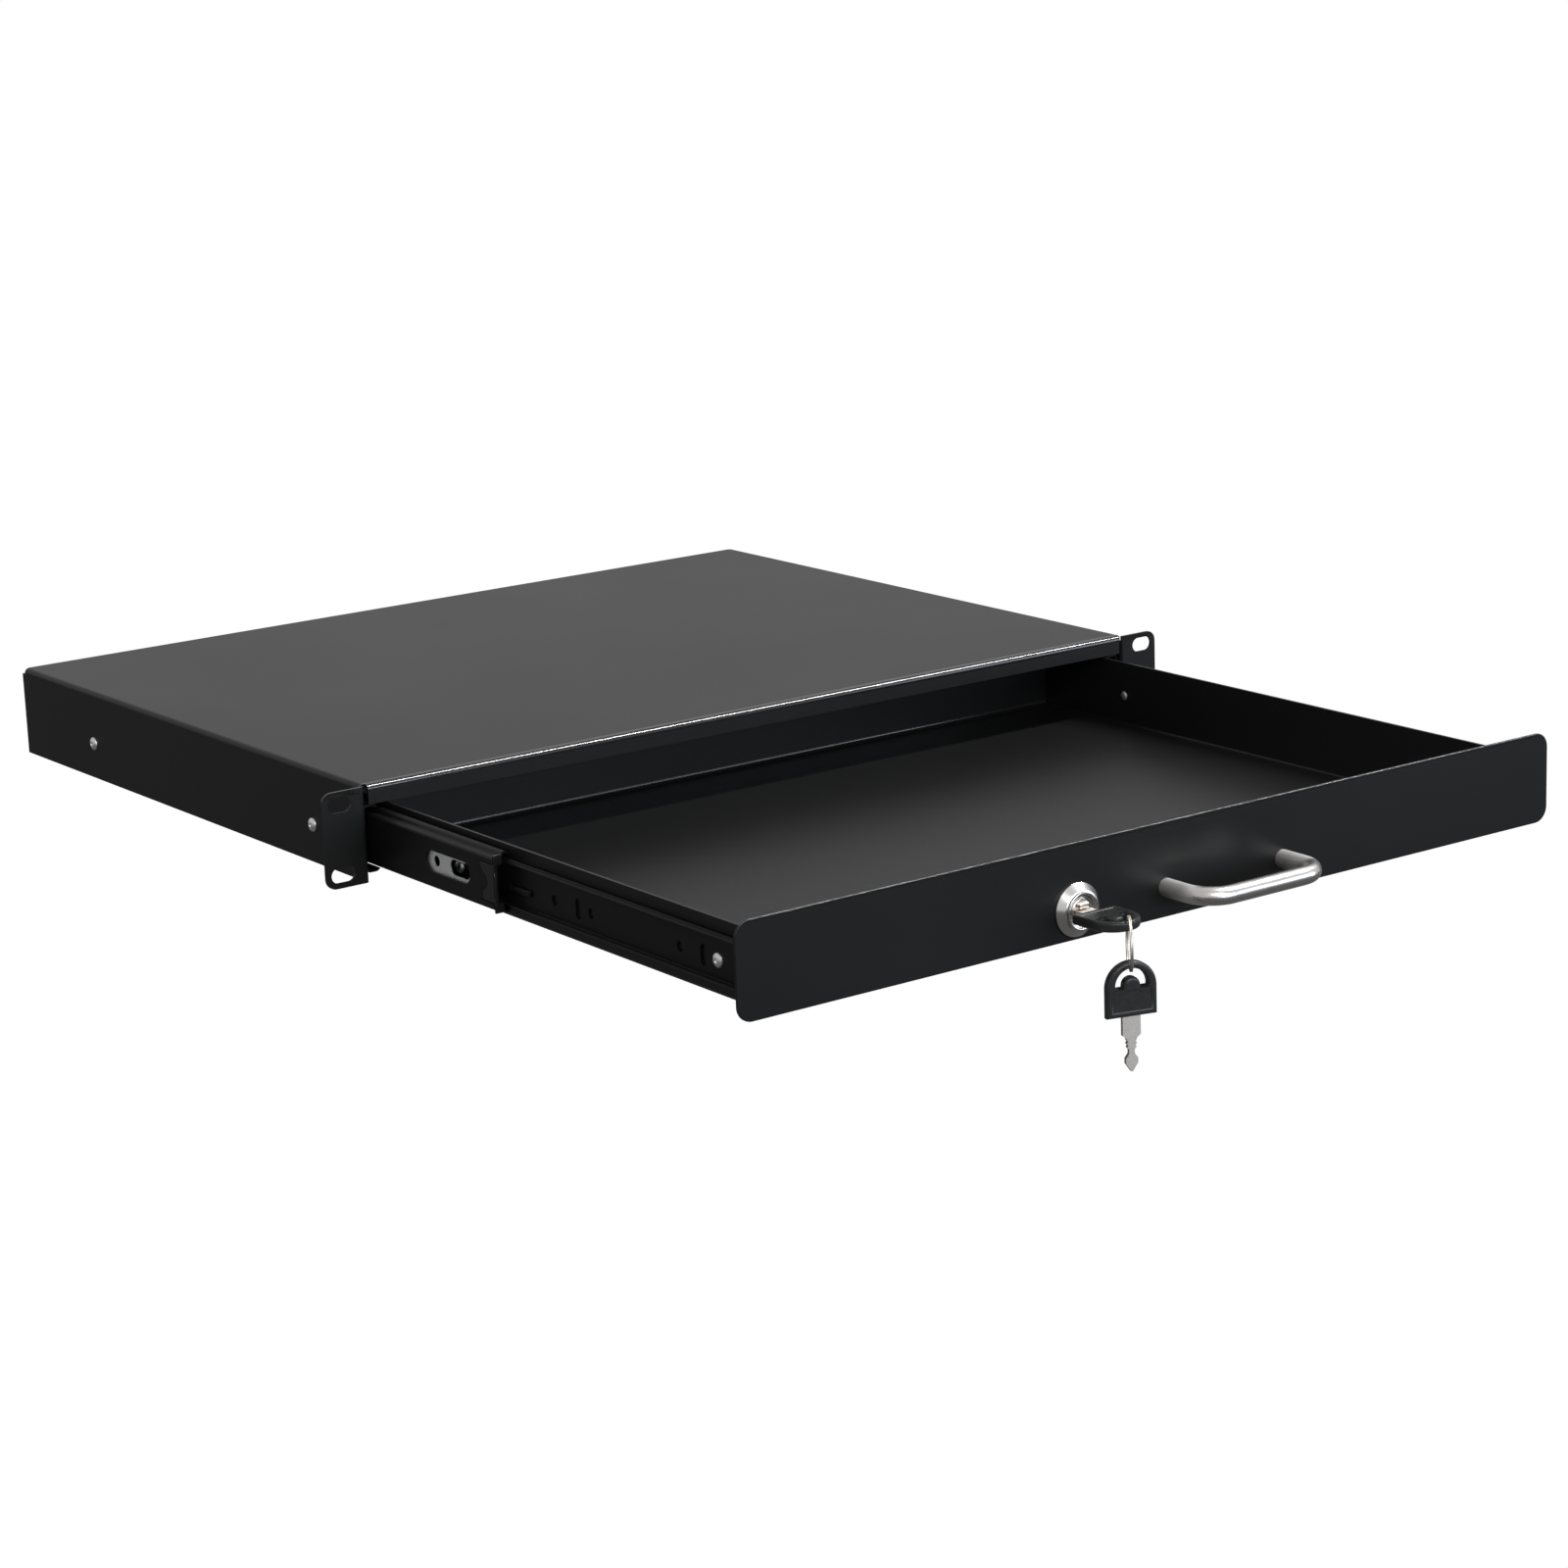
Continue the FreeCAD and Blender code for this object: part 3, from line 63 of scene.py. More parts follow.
# ---------------------------------------------------------------- shader arithmetic
# A Field is a number or colour that varies over a surface, and is added and multiplied like one.
class Field:
    def __init__(self, finish, socket):
        self.finish = finish
        self.socket = socket

    def maths(self, operation, *values):
        return self.finish.node("ShaderNodeMath", {"operation": operation}, dict(enumerate(values)))

    def __add__(self, other):
        return self.maths("ADD", self, other)

    def __sub__(self, other):
        return self.maths("SUBTRACT", self, other)

    def __rsub__(self, other):
        return self.maths("SUBTRACT", other, self)

    def __mul__(self, other):
        return self.maths("MULTIPLY", self, other)

    def larger(self, other):
        return self.maths("MAXIMUM", self, other)

    def ramp(self, low, high):
        """0 below low and 1 above high, with a soft step between."""
        return self.finish.node("ShaderNodeMapRange", {"interpolation_type": "SMOOTHSTEP"},
                                {"Value": self, "From Min": low, "From Max": high})

    __radd__ = __add__
    __rmul__ = __mul__


class Finish:
    """A material: its fields, and the one shader they feed."""
    def __init__(self, name):
        self.material = bpy.data.materials.new(name)
        self.material.use_nodes = True
        self.tree = self.material.node_tree
        self.tree.nodes.clear()
        self.place = self.node("ShaderNodeTexCoord", output="Object")

    def node(self, kind, settings=None, values=None, output=0):
        made = self.tree.nodes.new(kind)
        for name, setting in (settings or {}).items():
            setattr(made, name, setting)
        for name, value in (values or {}).items():
            if isinstance(value, Field):
                self.tree.links.new(value.socket, made.inputs[name])
            else:
                made.inputs[name].default_value = value
        return None if output is None else Field(self, made.outputs[output])

    def noise(self, scale, detail, stretch=(1, 1, 1)):
        place = self.node("ShaderNodeVectorMath", {"operation": "MULTIPLY"},
                          {0: self.place, 1: stretch})
        return self.node("ShaderNodeTexNoise", None, {
            "Vector": place, "Scale": scale, "Detail": detail, "Roughness": 0.5})

    def axis(self, which):
        return self.node("ShaderNodeSeparateXYZ", None, {0: self.place}, which)

    def blend(self, one, two, share):
        return self.node("ShaderNodeMix", {"data_type": "RGBA"}, {0: share, 6: one, 7: two}, 2)

    def bump(self, height, distance, strength):
        return self.node("ShaderNodeBump", None, {
            "Height": height, "Distance": distance, "Strength": strength})

    def made_of(self, **values):
        names = {"colour": "Base Color", "rough": "Roughness", "metal": "Metallic",
                 "gloss": "Specular IOR Level", "normal": "Normal"}
        skin = self.node("ShaderNodeBsdfPrincipled", None,
                         {names[name]: value for name, value in values.items()})
        self.node("ShaderNodeOutputMaterial", None, {"Surface": skin}, None)
        return self.material


def grey(level, warmth=0.0):
    return (level * (1 + warmth), level, level * (1 - warmth), 1)


def dress(material, *names):
    """Gives CAD nodes a finish."""
    for name in names:
        mesh = nodes[name].data
        mesh.materials.clear()
        mesh.materials.append(material)


# ---------------------------------------------------------------- studio
# A wide floor far below the part and a white surround. The camera sees both white; the part mirrors
# them dimmed. A narrow high strip draws the folds, and three large soft lights stand in front.
def bare_mesh(name, shape):
    """An object from a bmesh, in the scene."""
    mesh = bpy.data.meshes.new(name)
    shape.to_mesh(mesh)
    shape.free()
    made = bpy.data.objects.new(name, mesh)
    bpy.context.scene.collection.objects.link(made)
    return made


floor_front, floor_back = 0.10, 0.13   # how pale the floor looks in the part's gloss
sky_fill, sky_mirrored = 0.50, 0.54    # the surround as a light, and in the part's gloss
floor_height, floor_reach = -1.3, 25
front_y = -0.6                         # the floor's tone changes between this Y and its opposite
floor_shape = bmesh.new()
bmesh.ops.create_grid(floor_shape, x_segments=1, y_segments=1, size=floor_reach)
bmesh.ops.translate(floor_shape, vec=(0, 0, floor_height), verts=floor_shape.verts)
floor = bare_mesh("floor", floor_shape)
floor_paint = Finish("white_floor")
seen = floor_paint.node("ShaderNodeLightPath", output="Is Camera Ray")
mirrored = floor_paint.node("ShaderNodeLightPath", output="Is Glossy Ray")
through = floor_paint.node("ShaderNodeLightPath", output="Is Transmission Ray")
matt = floor_paint.node("ShaderNodeBsdfDiffuse", None, {"Color": grey(0.8)})
front_pale = floor_paint.axis("Y").ramp(-front_y, front_y)
pale = front_pale * floor_front + (1 - front_pale) * floor_back
bright = floor_paint.node("ShaderNodeEmission", None, {
    "Color": grey(1.0), "Strength": 1 - mirrored * (1 - pale)})
share = seen.larger(through).larger(mirrored)
both = floor_paint.node("ShaderNodeMixShader", None, {0: share, 1: matt, 2: bright})
floor_paint.node("ShaderNodeOutputMaterial", None, {"Surface": both}, None)
floor.data.materials.append(floor_paint.material)

world = bpy.data.worlds.new("surround")
bpy.context.scene.world = world
world.use_nodes = True
world.node_tree.nodes.clear()
air = Finish.__new__(Finish)
air.tree = world.node_tree
eye = air.node("ShaderNodeLightPath", output="Is Camera Ray")
gloss_eye = air.node("ShaderNodeLightPath", output="Is Glossy Ray")
clear_eye = air.node("ShaderNodeLightPath", output="Is Transmission Ray")
seen_sky = eye.larger(clear_eye) * (1 - sky_fill) + sky_fill
strength = seen_sky + gloss_eye * (sky_mirrored - sky_fill)
sky = air.node("ShaderNodeBackground", None, {"Color": grey(1.0), "Strength": strength})
air.node("ShaderNodeOutputWorld", None, {"Surface": sky}, None)


def softbox(name, place, aim, width, height, power, tint=(1, 1, 1)):
    light = bpy.data.lights.new(name, "AREA")
    light.shape = "RECTANGLE"
    light.size = width
    light.size_y = height
    light.energy = power
    light.color = tint
    made = bpy.data.objects.new(name, light)
    bpy.context.scene.collection.objects.link(made)
    away = Vector(place) - Vector(aim)
    made.rotation_euler = away.to_track_quat("Z", "Y").to_euler()
    made.location = place


cool = (0.86, 0.98, 1.12)
softbox("folds", (1.25, -0.53, 1.74), (1.25, 0, 0), 1.3, 0.11, 62)
softbox("front", (0.3, -2.4, 0.45), (0, 0, 0), 1.6, 0.7, 24, cool)
softbox("front_left", (-0.7, -2.4, 1.45), (0, -0.3, 0), 1.0, 0.8, 22)
softbox("front_right", (1.9, -1.7, 0.35), (0, -0.1, 0), 0.9, 0.9, 8, cool)


# ---------------------------------------------------------------- casing, tray and front panel
# Folded steel sheet 1.2 mm thick in one black powder coat: satin, with the fine orange peel that
# baked powder has, and shinier along the casing's front fold.
def powder_coat():
    paint = Finish("satin_black_powder")
    peel = paint.noise(1400, 2)
    fine = paint.noise(5200, 1)
    cloud = paint.noise(9, 2)
    grain = peel * 0.7 + fine * 0.3
    fold = (1 - paint.axis("Y").ramp(0.003, 0.005)) * paint.axis("Z").ramp(0.0185, 0.0195)
    colour = paint.blend(grey(0.0050), grey(0.0075), cloud)
    return paint.made_of(
        colour=colour, gloss=0.25 + fold * 0.5,
        rough=0.35 + (cloud - 0.5) * 0.06 + (fine - 0.5) * 0.05 - fold * 0.21,
        normal=paint.bump(grain, 0.00004, 0.35))


powder = powder_coat()
dress(powder, "casing", "drawer_tray")


def piece(name, shape, body, material, stands_for=(), crease=35):
    """A finished piece: smooth, but sharp where its faces turn by more than `crease` degrees."""
    made = bare_mesh(name, shape)
    made.data.shade_smooth()
    made.data.set_sharp_from_angle(angle=math.radians(crease))
    level = made.modifiers.new("level", "WEIGHTED_NORMAL")
    level.weight = 100
    level.keep_sharp = True
    made.data.materials.append(material)
    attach(made, body)
    if stands_for:
        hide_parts(*stands_for)


def arc(middle, radius, start, stop, steps):
    """Points (x, y) round an arc, its angles in degrees."""
    turns = [math.radians(start + (stop - start) * step / steps) for step in range(steps + 1)]
    return [(middle[0] + radius * math.cos(turn), middle[1] + radius * math.sin(turn))
            for turn in turns]


def circle(middle, radius, points):
    return arc(middle, radius, 0, 360 - 360 / points, points - 1)


def slab(outlines, half, bevel, steps=4):
    """A flat plate in XY from closed outlines, the later ones holes, with rounded edges."""
    drawn = bpy.data.curves.new("outline", "CURVE")
    drawn.dimensions = "2D"
    drawn.fill_mode = "BOTH"
    for points in outlines:
        line = drawn.splines.new("POLY")
        line.points.add(len(points) - 1)
        for point, (x, y) in zip(line.points, points):
            point.co = (x, y, 0, 1)
        line.use_cyclic_u = True
    drawn.extrude = half - bevel
    drawn.bevel_depth = bevel
    drawn.bevel_resolution = steps
    drawn.offset = -bevel
    holder = bpy.data.objects.new("outline", drawn)
    bpy.context.scene.collection.objects.link(holder)
    bpy.context.view_layer.update()
    flat = bpy.data.meshes.new_from_object(holder.evaluated_get(
        bpy.context.evaluated_depsgraph_get()))
    shape = bmesh.new()
    shape.from_mesh(flat)
    bpy.data.meshes.remove(flat)
    bpy.data.objects.remove(holder)
    bpy.data.curves.remove(drawn)
    bmesh.ops.remove_doubles(shape, verts=shape.verts, dist=0.000002)
    bmesh.ops.recalc_face_normals(shape, faces=shape.faces)
    return shape


# The front panel is a flat plate with rounded corners; the powder rounds its edges, and it is bored
# for the lock and for the two screws of the handle.
low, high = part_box("front_panel")
wide, tall, corner = (high.x - low.x) / 2, (high.z - low.z) / 2, 0.007
barrel_bore, screw_bore = 0.0076, 0.00205
rod = 0.004                            # radius of the handle's rod, which its screws sit in
edge = []
for quarter, (across, up) in enumerate(((1, 1), (-1, 1), (-1, -1), (1, -1))):
    edge += arc((across * (wide - corner), up * (tall - corner)), corner,
                90 * quarter, 90 * quarter + 90, 14)
centre_x, centre_z = (low.x + high.x) / 2, (low.z + high.z) / 2
bores = []
for name in ("lock_housing", "handle_screws"):
    near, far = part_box(name)
    across = (far.x + near.x) / 2 - centre_x
    up = (far.z + near.z) / 2 - centre_z
    reach = (far.x - near.x) / 2 - rod
    if name == "lock_housing":
        bores.append(circle((across, up), barrel_bore, 48))
    else:
        bores += [circle((across + way * reach, up), screw_bore, 24) for way in (-1, 1)]
plate = slab([edge] + bores, (high.y - low.y) / 2, 0.0003, 3)
bmesh.ops.transform(plate, verts=plate.verts, matrix=Matrix.Translation(
    (centre_x, (low.y + high.y) / 2, centre_z)) @ Matrix.Rotation(math.radians(90), 4, "X"))
bmesh.ops.recalc_face_normals(plate, faces=plate.faces)
piece("panel_plate", plate, "drawer", powder, ["front_panel"], 40)


# The powder lies thick and glossy in the bend between the tray's floor and its rear wall.
bend = 0.0022
low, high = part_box("drawer_tray")
sheet = 0.0012
side_play = 0.0006
sunk = 0.0003                          # how far the filled bend reaches into the sheet
corner = Vector((0, high.y - sheet, low.z + sheet))
half = high.x - sheet - side_play
shape = bmesh.new()
turns = [math.radians(90 * step / 8) for step in range(9)]
line = [(-bend * (1 - math.sin(turn)), bend * (1 - math.cos(turn))) for turn in turns]
line.append((sunk, -sunk))
near = [shape.verts.new((-half, corner.y + y, corner.z + z)) for y, z in line]
end = shape.faces.new(near)
grown = bmesh.ops.extrude_face_region(shape, geom=[end])
bmesh.ops.translate(shape, vec=(2 * half, 0, 0),
                    verts=[v for v in grown["geom"] if isinstance(v, bmesh.types.BMVert)])
bmesh.ops.recalc_face_normals(shape, faces=shape.faces)
bend_coat = Finish("powder_in_bend")
pool = bend_coat.noise(700, 2)
bend_gloss = bend_coat.made_of(colour=bend_coat.blend(grey(0.005), grey(0.008), pool),
                               gloss=1.0, rough=0.16 + pool * 0.06)
piece("tray_bend", shape, "drawer", bend_gloss, (), 50)


# ---------------------------------------------------------------- slide rails
# Rolled strip in a thin black coat, darker and smoother than the powder, with the marks of drawing
# running along the rails.
def rail_coat():
    coat = Finish("black_rail_coat")
    drawn = coat.noise(900, 2, (1, 0.012, 1))
    smear = coat.noise(60, 2, (1, 0.1, 1))
    return coat.made_of(
        colour=coat.blend(grey(0.003), grey(0.006), drawn), gloss=0.18,
        rough=0.26 + drawn * 0.12 + smear * 0.08,
        normal=coat.bump(drawn, 0.00003, 0.4))


black_rail = rail_coat()
dress(black_rail, *[f"{part}_rail_{side}" for part in ("outer", "middle", "inner")
                     for side in ("left", "right")])


# ---------------------------------------------------------------- ball cages and balls
# Cages are bright zinc-plated strip with a faint bloom; the balls are ground bearing steel.
def zinc_plate():
    zinc = Finish("bright_zinc")
    bloom = zinc.noise(260, 3)
    drawn = zinc.noise(1600, 1, (1, 0.03, 1))
    return zinc.made_of(
        colour=zinc.blend(grey(0.80, -0.01), grey(0.94, -0.01), bloom), metal=1.0,
        rough=0.44 + bloom * 0.14, normal=zinc.bump(drawn, 0.00002, 0.3))


zinc = zinc_plate()
dress(zinc, "outer_cage_left", "outer_cage_right", "inner_cage_left", "inner_cage_right")


def ball_steel():
    steel = Finish("ball_steel")
    film = steel.noise(700, 2)
    return steel.made_of(colour=steel.blend(grey(0.62), grey(0.72), film), metal=1.0,
                         rough=0.08 + film * 0.08)


dress(ball_steel(), *[f"{row}_balls_{side}" for row in ("outer", "inner")
                      for side in ("left", "right")])


def block(shape, size, middle):
    made = bmesh.ops.create_cube(shape, size=1)["verts"]
    bmesh.ops.scale(shape, vec=size, verts=made)
    bmesh.ops.translate(shape, verts=made, vec=middle)


def round_off(shape, radius, segments):
    bmesh.ops.bevel(shape, geom=shape.edges[:], offset=radius, offset_type="OFFSET",
                    segments=segments, profile=0.5, affect="EDGES", clamp_overlap=True, material=-1)


# A flat lance is pressed out of each inner rail, just in front of the middle rail's end.
rail_strip = 0.0010
lance_size, lance_proud = (0.0018, 0.0160, 0.0030), 0.0007
lance_y, lance_z = -0.1096, -0.0051
for side, out in (("left", -1), ("right", 1)):
    low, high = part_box("inner_rail_" + side)
    web = high.x - rail_strip if out < 0 else low.x + rail_strip
    shape = bmesh.new()
    block(shape, lance_size, (web + out * lance_proud, lance_y, lance_z))
    round_off(shape, 0.0008, 4)
    bmesh.ops.recalc_face_normals(shape, faces=shape.faces)
    piece("rail_lance_" + side, shape, "drawer", black_rail, (), 40)


# ---------------------------------------------------------------- bumpers
# A moulded black plastic nose clips into the front of each middle rail. Its face is waved, with two
# horns that stop the ball races, and it is glossier than the rails and the flat powder.
def moulded_plastic(name, level, rough, gloss):
    resin = Finish(name)
    flow = resin.noise(420, 2)
    fine = resin.noise(3800, 1)
    return resin.made_of(
        colour=resin.blend(grey(level), grey(level * 1.5), flow), gloss=gloss,
        rough=rough + (flow - 0.5) * 0.12, normal=resin.bump(flow * 0.5 + fine * 0.5, 0.00004, 0.3))


bumper_gloss = moulded_plastic("bumper_plastic", 0.006, 0.09, 0.5)
# height on the nose (1 at its top), then in mm how far its front bulges and its rear stands back
wave = [(-1.0, 0.1, 8.0), (-0.86, 0.5, 8.8), (-0.72, 1.0, 9.3), (-0.5, 1.4, 8.4), (-0.28, 1.7, 6.0),
        (0.0, 1.8, 4.6), (0.26, 1.7, 5.4), (0.44, 1.5, 7.6), (0.62, 1.2, 9.4), (0.8, 0.7, 10.2),
        (1.0, 0.1, 10.4)]


notch_half, notch_depth = 0.0082, 0.0108   # the notch in the rail's end: half its height, its depth


def waved_plate(x, thick, heights, near, far):
    """A plate of that thickness from the plane at x, between two rows of Y values."""
    made = bmesh.new()
    edge = [made.verts.new((x, y, z)) for y, z in zip(near, heights)]
    edge += [made.verts.new((x, y, z)) for y, z in reversed(list(zip(far, heights)))]
    grown = bmesh.ops.extrude_face_region(made, geom=[made.faces.new(edge)])
    bmesh.ops.translate(made, vec=(thick, 0, 0),
                        verts=[v for v in grown["geom"] if isinstance(v, bmesh.types.BMVert)])
    bmesh.ops.recalc_face_normals(made, faces=made.faces)
    return made


for side, out in (("left", -1), ("right", 1)):
    low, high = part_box("bumper_" + side)
    wall = low.x if out < 0 else high.x
    middle = (low.z + high.z) / 2
    half = (high.z - low.z) / 2
    front = low.y + 0.0018
    heights = [middle + notch_half * level for level, nose, back in wave]
    noses = [front - 0.001 * nose for level, nose, back in wave]
    waved = [front + 0.001 * back for level, nose, back in wave]
    # the plate in the rail's notch, and the rail's own waved tongue behind it
    shape = waved_plate(wall, -out * 0.0012, heights, noses, waved)
    tongue = waved_plate(wall, -out * 0.0010, heights, [y + 0.0002 for y in waved],
                         [front + notch_depth] * len(waved))
    round_off(tongue, 0.00014, 2)
    piece("rail_tongue_" + side, tongue, "middle_" + side, black_rail)
    # the bar before the rail's end, and its two horns over the ball races
    blocks = [(0.0018, 0.0010, 2 * half - 0.0004, 0.0009, 0)]
    blocks += [(0.0042, 0.0013, 0.0044, 0.0021, level) for level in (-1, 1)]
    for wide, deep, tall, inward, level in blocks:
        block(shape, (wide, deep, tall),
              (wall - out * inward, low.y + 0.0011, middle + level * (half - 0.0022)))
    round_off(shape, 0.00028, 2)
    bmesh.ops.recalc_face_normals(shape, faces=shape.faces)
    piece("bumper_nose_" + side, shape, "middle_" + side, bumper_gloss,
          ["bumper_" + side])


# ---------------------------------------------------------------- rivets
# Steel pop rivets: a low dome with the broken mandrel sunk in its middle. Two go through each side
# of the casing, two through each wall of the tray; the stop studs have plain domes.
def bright_steel():
    steel = Finish("rivet_steel")
    dent = steel.noise(900, 3)
    return steel.made_of(colour=steel.blend(grey(0.74), grey(0.92), dent), metal=1.0,
                         rough=0.34 + dent * 0.16, normal=steel.bump(dent, 0.00008, 0.4))


def turned(shape, profile, rounding=0.0, steps=40, segments=3):
    """Spins (y, radius) points about Y, their inner corners rounded first."""
    line = [shape.verts.new((radius, y, 0)) for y, radius in profile]
    edges = [shape.edges.new(pair) for pair in zip(line, line[1:])]
    if rounding:
        bmesh.ops.bevel(shape, geom=line[1:-1], offset=rounding, offset_type="OFFSET",
                        segments=segments, profile=0.5, affect="VERTICES", clamp_overlap=True,
                        material=-1)
        edges = [e for e in shape.edges if not e.link_faces]
    bmesh.ops.spin(shape, geom=edges, cent=(0, 0, 0), axis=(0, 1, 0), angle=math.tau,
                   steps=steps, use_merge=True, use_duplicate=False)
    bmesh.ops.remove_doubles(shape, verts=shape.verts, dist=0.000002)
    bmesh.ops.recalc_face_normals(shape, faces=shape.faces)


steel = bright_steel()
rivet_head = [(0.0, 0.0), (0.0, 0.0032), (-0.00035, 0.0032), (-0.0009, 0.0027), (-0.0013, 0.0018),
              (-0.0014, 0.0011), (-0.0009, 0.0009), (-0.0006, 0.0007), (-0.0006, 0.0)]
stud_head = [(0.0, 0.0), (0.0, 0.0032), (-0.0004, 0.0032), (-0.0010, 0.0026), (-0.0013, 0.0015),
             (-0.0014, 0.0)]
# along the shank: 1 is the end of the grip, and 2 the end of the tail behind it
shank_tail = [(0.0, 0.0016), (1.0, 0.0016), (1.0, 0.0022), (1.3, 0.0022), (1.75, 0.0016),
              (2.0, 0.0008), (2.0, 0.0)]


head_height, tail_length = 0.0014, 0.0008


def merged(shapes):
    """One bmesh from several."""
    whole = bmesh.new()
    for shape in shapes:
        holder = bpy.data.meshes.new("part")
        shape.to_mesh(holder)
        shape.free()
        whole.from_mesh(holder)
        bpy.data.meshes.remove(holder)
    return whole


def rivet_row(name, node, body, head, grip, tail):
    """Rivets in place of a node's solids: each loose solid gives one rivet's place and side."""
    cad = bmesh.new()
    cad.from_mesh(nodes[node].data)
    bmesh.ops.remove_doubles(cad, verts=cad.verts, dist=0.000001)
    left = set(cad.verts)
    spots = []
    while left:
        island = [left.pop()]
        for vert in island:
            for edge in vert.link_edges:
                other = edge.other_vert(vert)
                if other in left:
                    left.remove(other)
                    island.append(other)
        xs, ys, zs = zip(*[v.co for v in island])
        spots.append((min(xs), max(xs), (min(ys) + max(ys)) / 2, (min(zs) + max(zs)) / 2))
    cad.free()
    rivets = []
    for near_x, far_x, y, z in spots:
        one = bmesh.new()
        turned(one, head)
        if tail:
            turned(one, [(grip * min(along, 1) + tail_length * max(along - 1, 0), radius)
                         for along, radius in shank_tail])
        side = -1 if near_x < 0 else 1
        seat = near_x + head_height if side < 0 else far_x - head_height
        bmesh.ops.transform(one, verts=one.verts, matrix=Matrix.Translation((seat, y, z))
                            @ Matrix.Rotation(math.radians(90 * side), 4, "Z"))
        bmesh.ops.recalc_face_normals(one, faces=one.faces)
        rivets.append(one)
    piece(name, merged(rivets), body, steel, [node], 50)


rivet_row("pop_rivets_casing", "casing_rivets", "casing", rivet_head, 0.0023, True)
rivet_row("pop_rivets_tray", "tray_rivets", "drawer", rivet_head, 0.0022, True)
rivet_row("stop_stud_heads", "stop_studs", "drawer", stud_head, 0.001, False)


# ---------------------------------------------------------------- handle
# One bent stainless rod, brushed along its length and turned flat at both feet, where screws from
# inside the tray hold it.
def brushed_stainless():
    steel = Finish("brushed_stainless")
    along_bar = steel.noise(2600, 2, (0.02, 1, 1))
    along_legs = steel.noise(2600, 2, (1, 0.02, 1))
    front = steel.axis("Y").ramp(-0.300, -0.306)
    brush = along_bar * front + along_legs * (1 - front)
    return steel.made_of(colour=steel.blend(grey(0.66, 0.03), grey(0.82, 0.03), brush),
                         metal=1.0, rough=0.20 + brush * 0.14 + (1 - front) * 0.26,
                         normal=steel.bump(brush, 0.00003, 0.4))


low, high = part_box("handle")
turn = 0.013
foot = Vector((low.x + rod, high.y, (low.z + high.z) / 2))
reach = high.y - low.y - rod - turn
span = high.x - low.x - 2 * rod - 2 * turn
shape = bmesh.new()
ring = bmesh.ops.create_circle(shape, segments=40, radius=rod, cap_ends=True)["verts"]
bmesh.ops.rotate(shape, cent=(0, 0, 0), verts=ring,
                 matrix=Matrix.Rotation(math.radians(90), 3, "X"))
bmesh.ops.translate(shape, vec=foot, verts=ring)
bmesh.ops.inset_region(shape, faces=shape.faces[:], thickness=0.0004, depth=0.0)


def lead(edges, vec=None, centre=None, angle=0):
    """Carries the rod's open end on, straight or round a bend, and returns the new end."""
    if vec:
        made = bmesh.ops.extrude_edge_only(shape, edges=edges)["geom"]
        ends = [v for v in made if isinstance(v, bmesh.types.BMVert)]
        bmesh.ops.translate(shape, vec=vec, verts=ends)
    else:
        made = bmesh.ops.spin(shape, geom=edges, cent=centre, axis=(0, 0, 1), angle=angle,
                              steps=14, use_merge=False, use_duplicate=False)["geom_last"]
    return [e for e in made if isinstance(e, bmesh.types.BMEdge) and len(e.link_faces) == 1]


end = [e for e in shape.edges if len(e.link_faces) == 1]
end = lead(end, vec=(0, -reach, 0))
end = lead(end, centre=foot + Vector((turn, -reach, 0)), angle=math.pi / 2)
end = lead(end, vec=(span, 0, 0))
end = lead(end, centre=foot + Vector((turn + span, -reach, 0)), angle=math.pi / 2)
end = lead(end, vec=(0, reach, 0))
bmesh.ops.holes_fill(shape, edges=end, sides=0)
bmesh.ops.recalc_face_normals(shape, faces=shape.faces)
piece("handle_rod", shape, "drawer", brushed_stainless(), ["handle"], 40)
dress(zinc, "handle_screws", "lock_nut", "lock_cam", "cam_washer", "cam_screw")


# ---------------------------------------------------------------- lock
# The bezel and barrel are one chromed casting, a cone with a flat ring round the turning plug; the
# plug is nickelled and has the keyway cut through its face.
def chrome_plate():
    chrome = Finish("chrome")
    haze = chrome.noise(500, 3)
    return chrome.made_of(colour=chrome.blend(grey(0.80, 0.02), grey(0.90, 0.02), haze), metal=1.0,
                          rough=0.16 + haze * 0.10)


def nickel_plate(name, level, rough):
    nickel = Finish(name)
    rub = nickel.noise(1300, 2)
    colour = nickel.blend(grey(level, 0.09), grey(level * 1.2, 0.09), rub)
    return nickel.made_of(colour=colour, metal=1.0, rough=rough + rub * 0.14,
                          normal=nickel.bump(rub, 0.00003, 0.3))


nickel = nickel_plate("nickel", 0.68, 0.20)
panel_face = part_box("front_panel")[0].y
low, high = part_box("lock_housing")
lock_axis = Vector(((low.x + high.x) / 2, 0, (low.z + high.z) / 2))
shape = bmesh.new()
bezel = [(0.0, 0.00755), (0.0, 0.0115), (-0.0008, 0.0115), (-0.0036, 0.0087), (-0.0036, 0.0083),
         (-0.0046, 0.0081), (-0.0046, 0.0073), (-0.0034, 0.0069), (-0.0034, 0.0061),
         (-0.0028, 0.0060), (-0.0028, 0.00505), (0.018, 0.00505), (0.018, 0.0075), (0.0, 0.0075)]
turned(shape, [(panel_face + y, radius) for y, radius in bezel], 0.00022, 64, 2)
bmesh.ops.translate(shape, vec=lock_axis, verts=shape.verts)
piece("lock_bezel", shape, "drawer", chrome_plate(), ["lock_housing"], 30)
dress(nickel, "lock_plug")


# The plug's face carries a low boss over the keyway, polished by the key.
low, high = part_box("lock_plug")
shape = bmesh.new()
block(shape, (0.0056, 0.0020, 0.0026),
      ((low.x + high.x) / 2, low.y - 0.0006, (low.z + high.z) / 2 + 0.0026))
round_off(shape, 0.0008, 4)
piece("plug_boss", shape, "lock_plug", nickel)


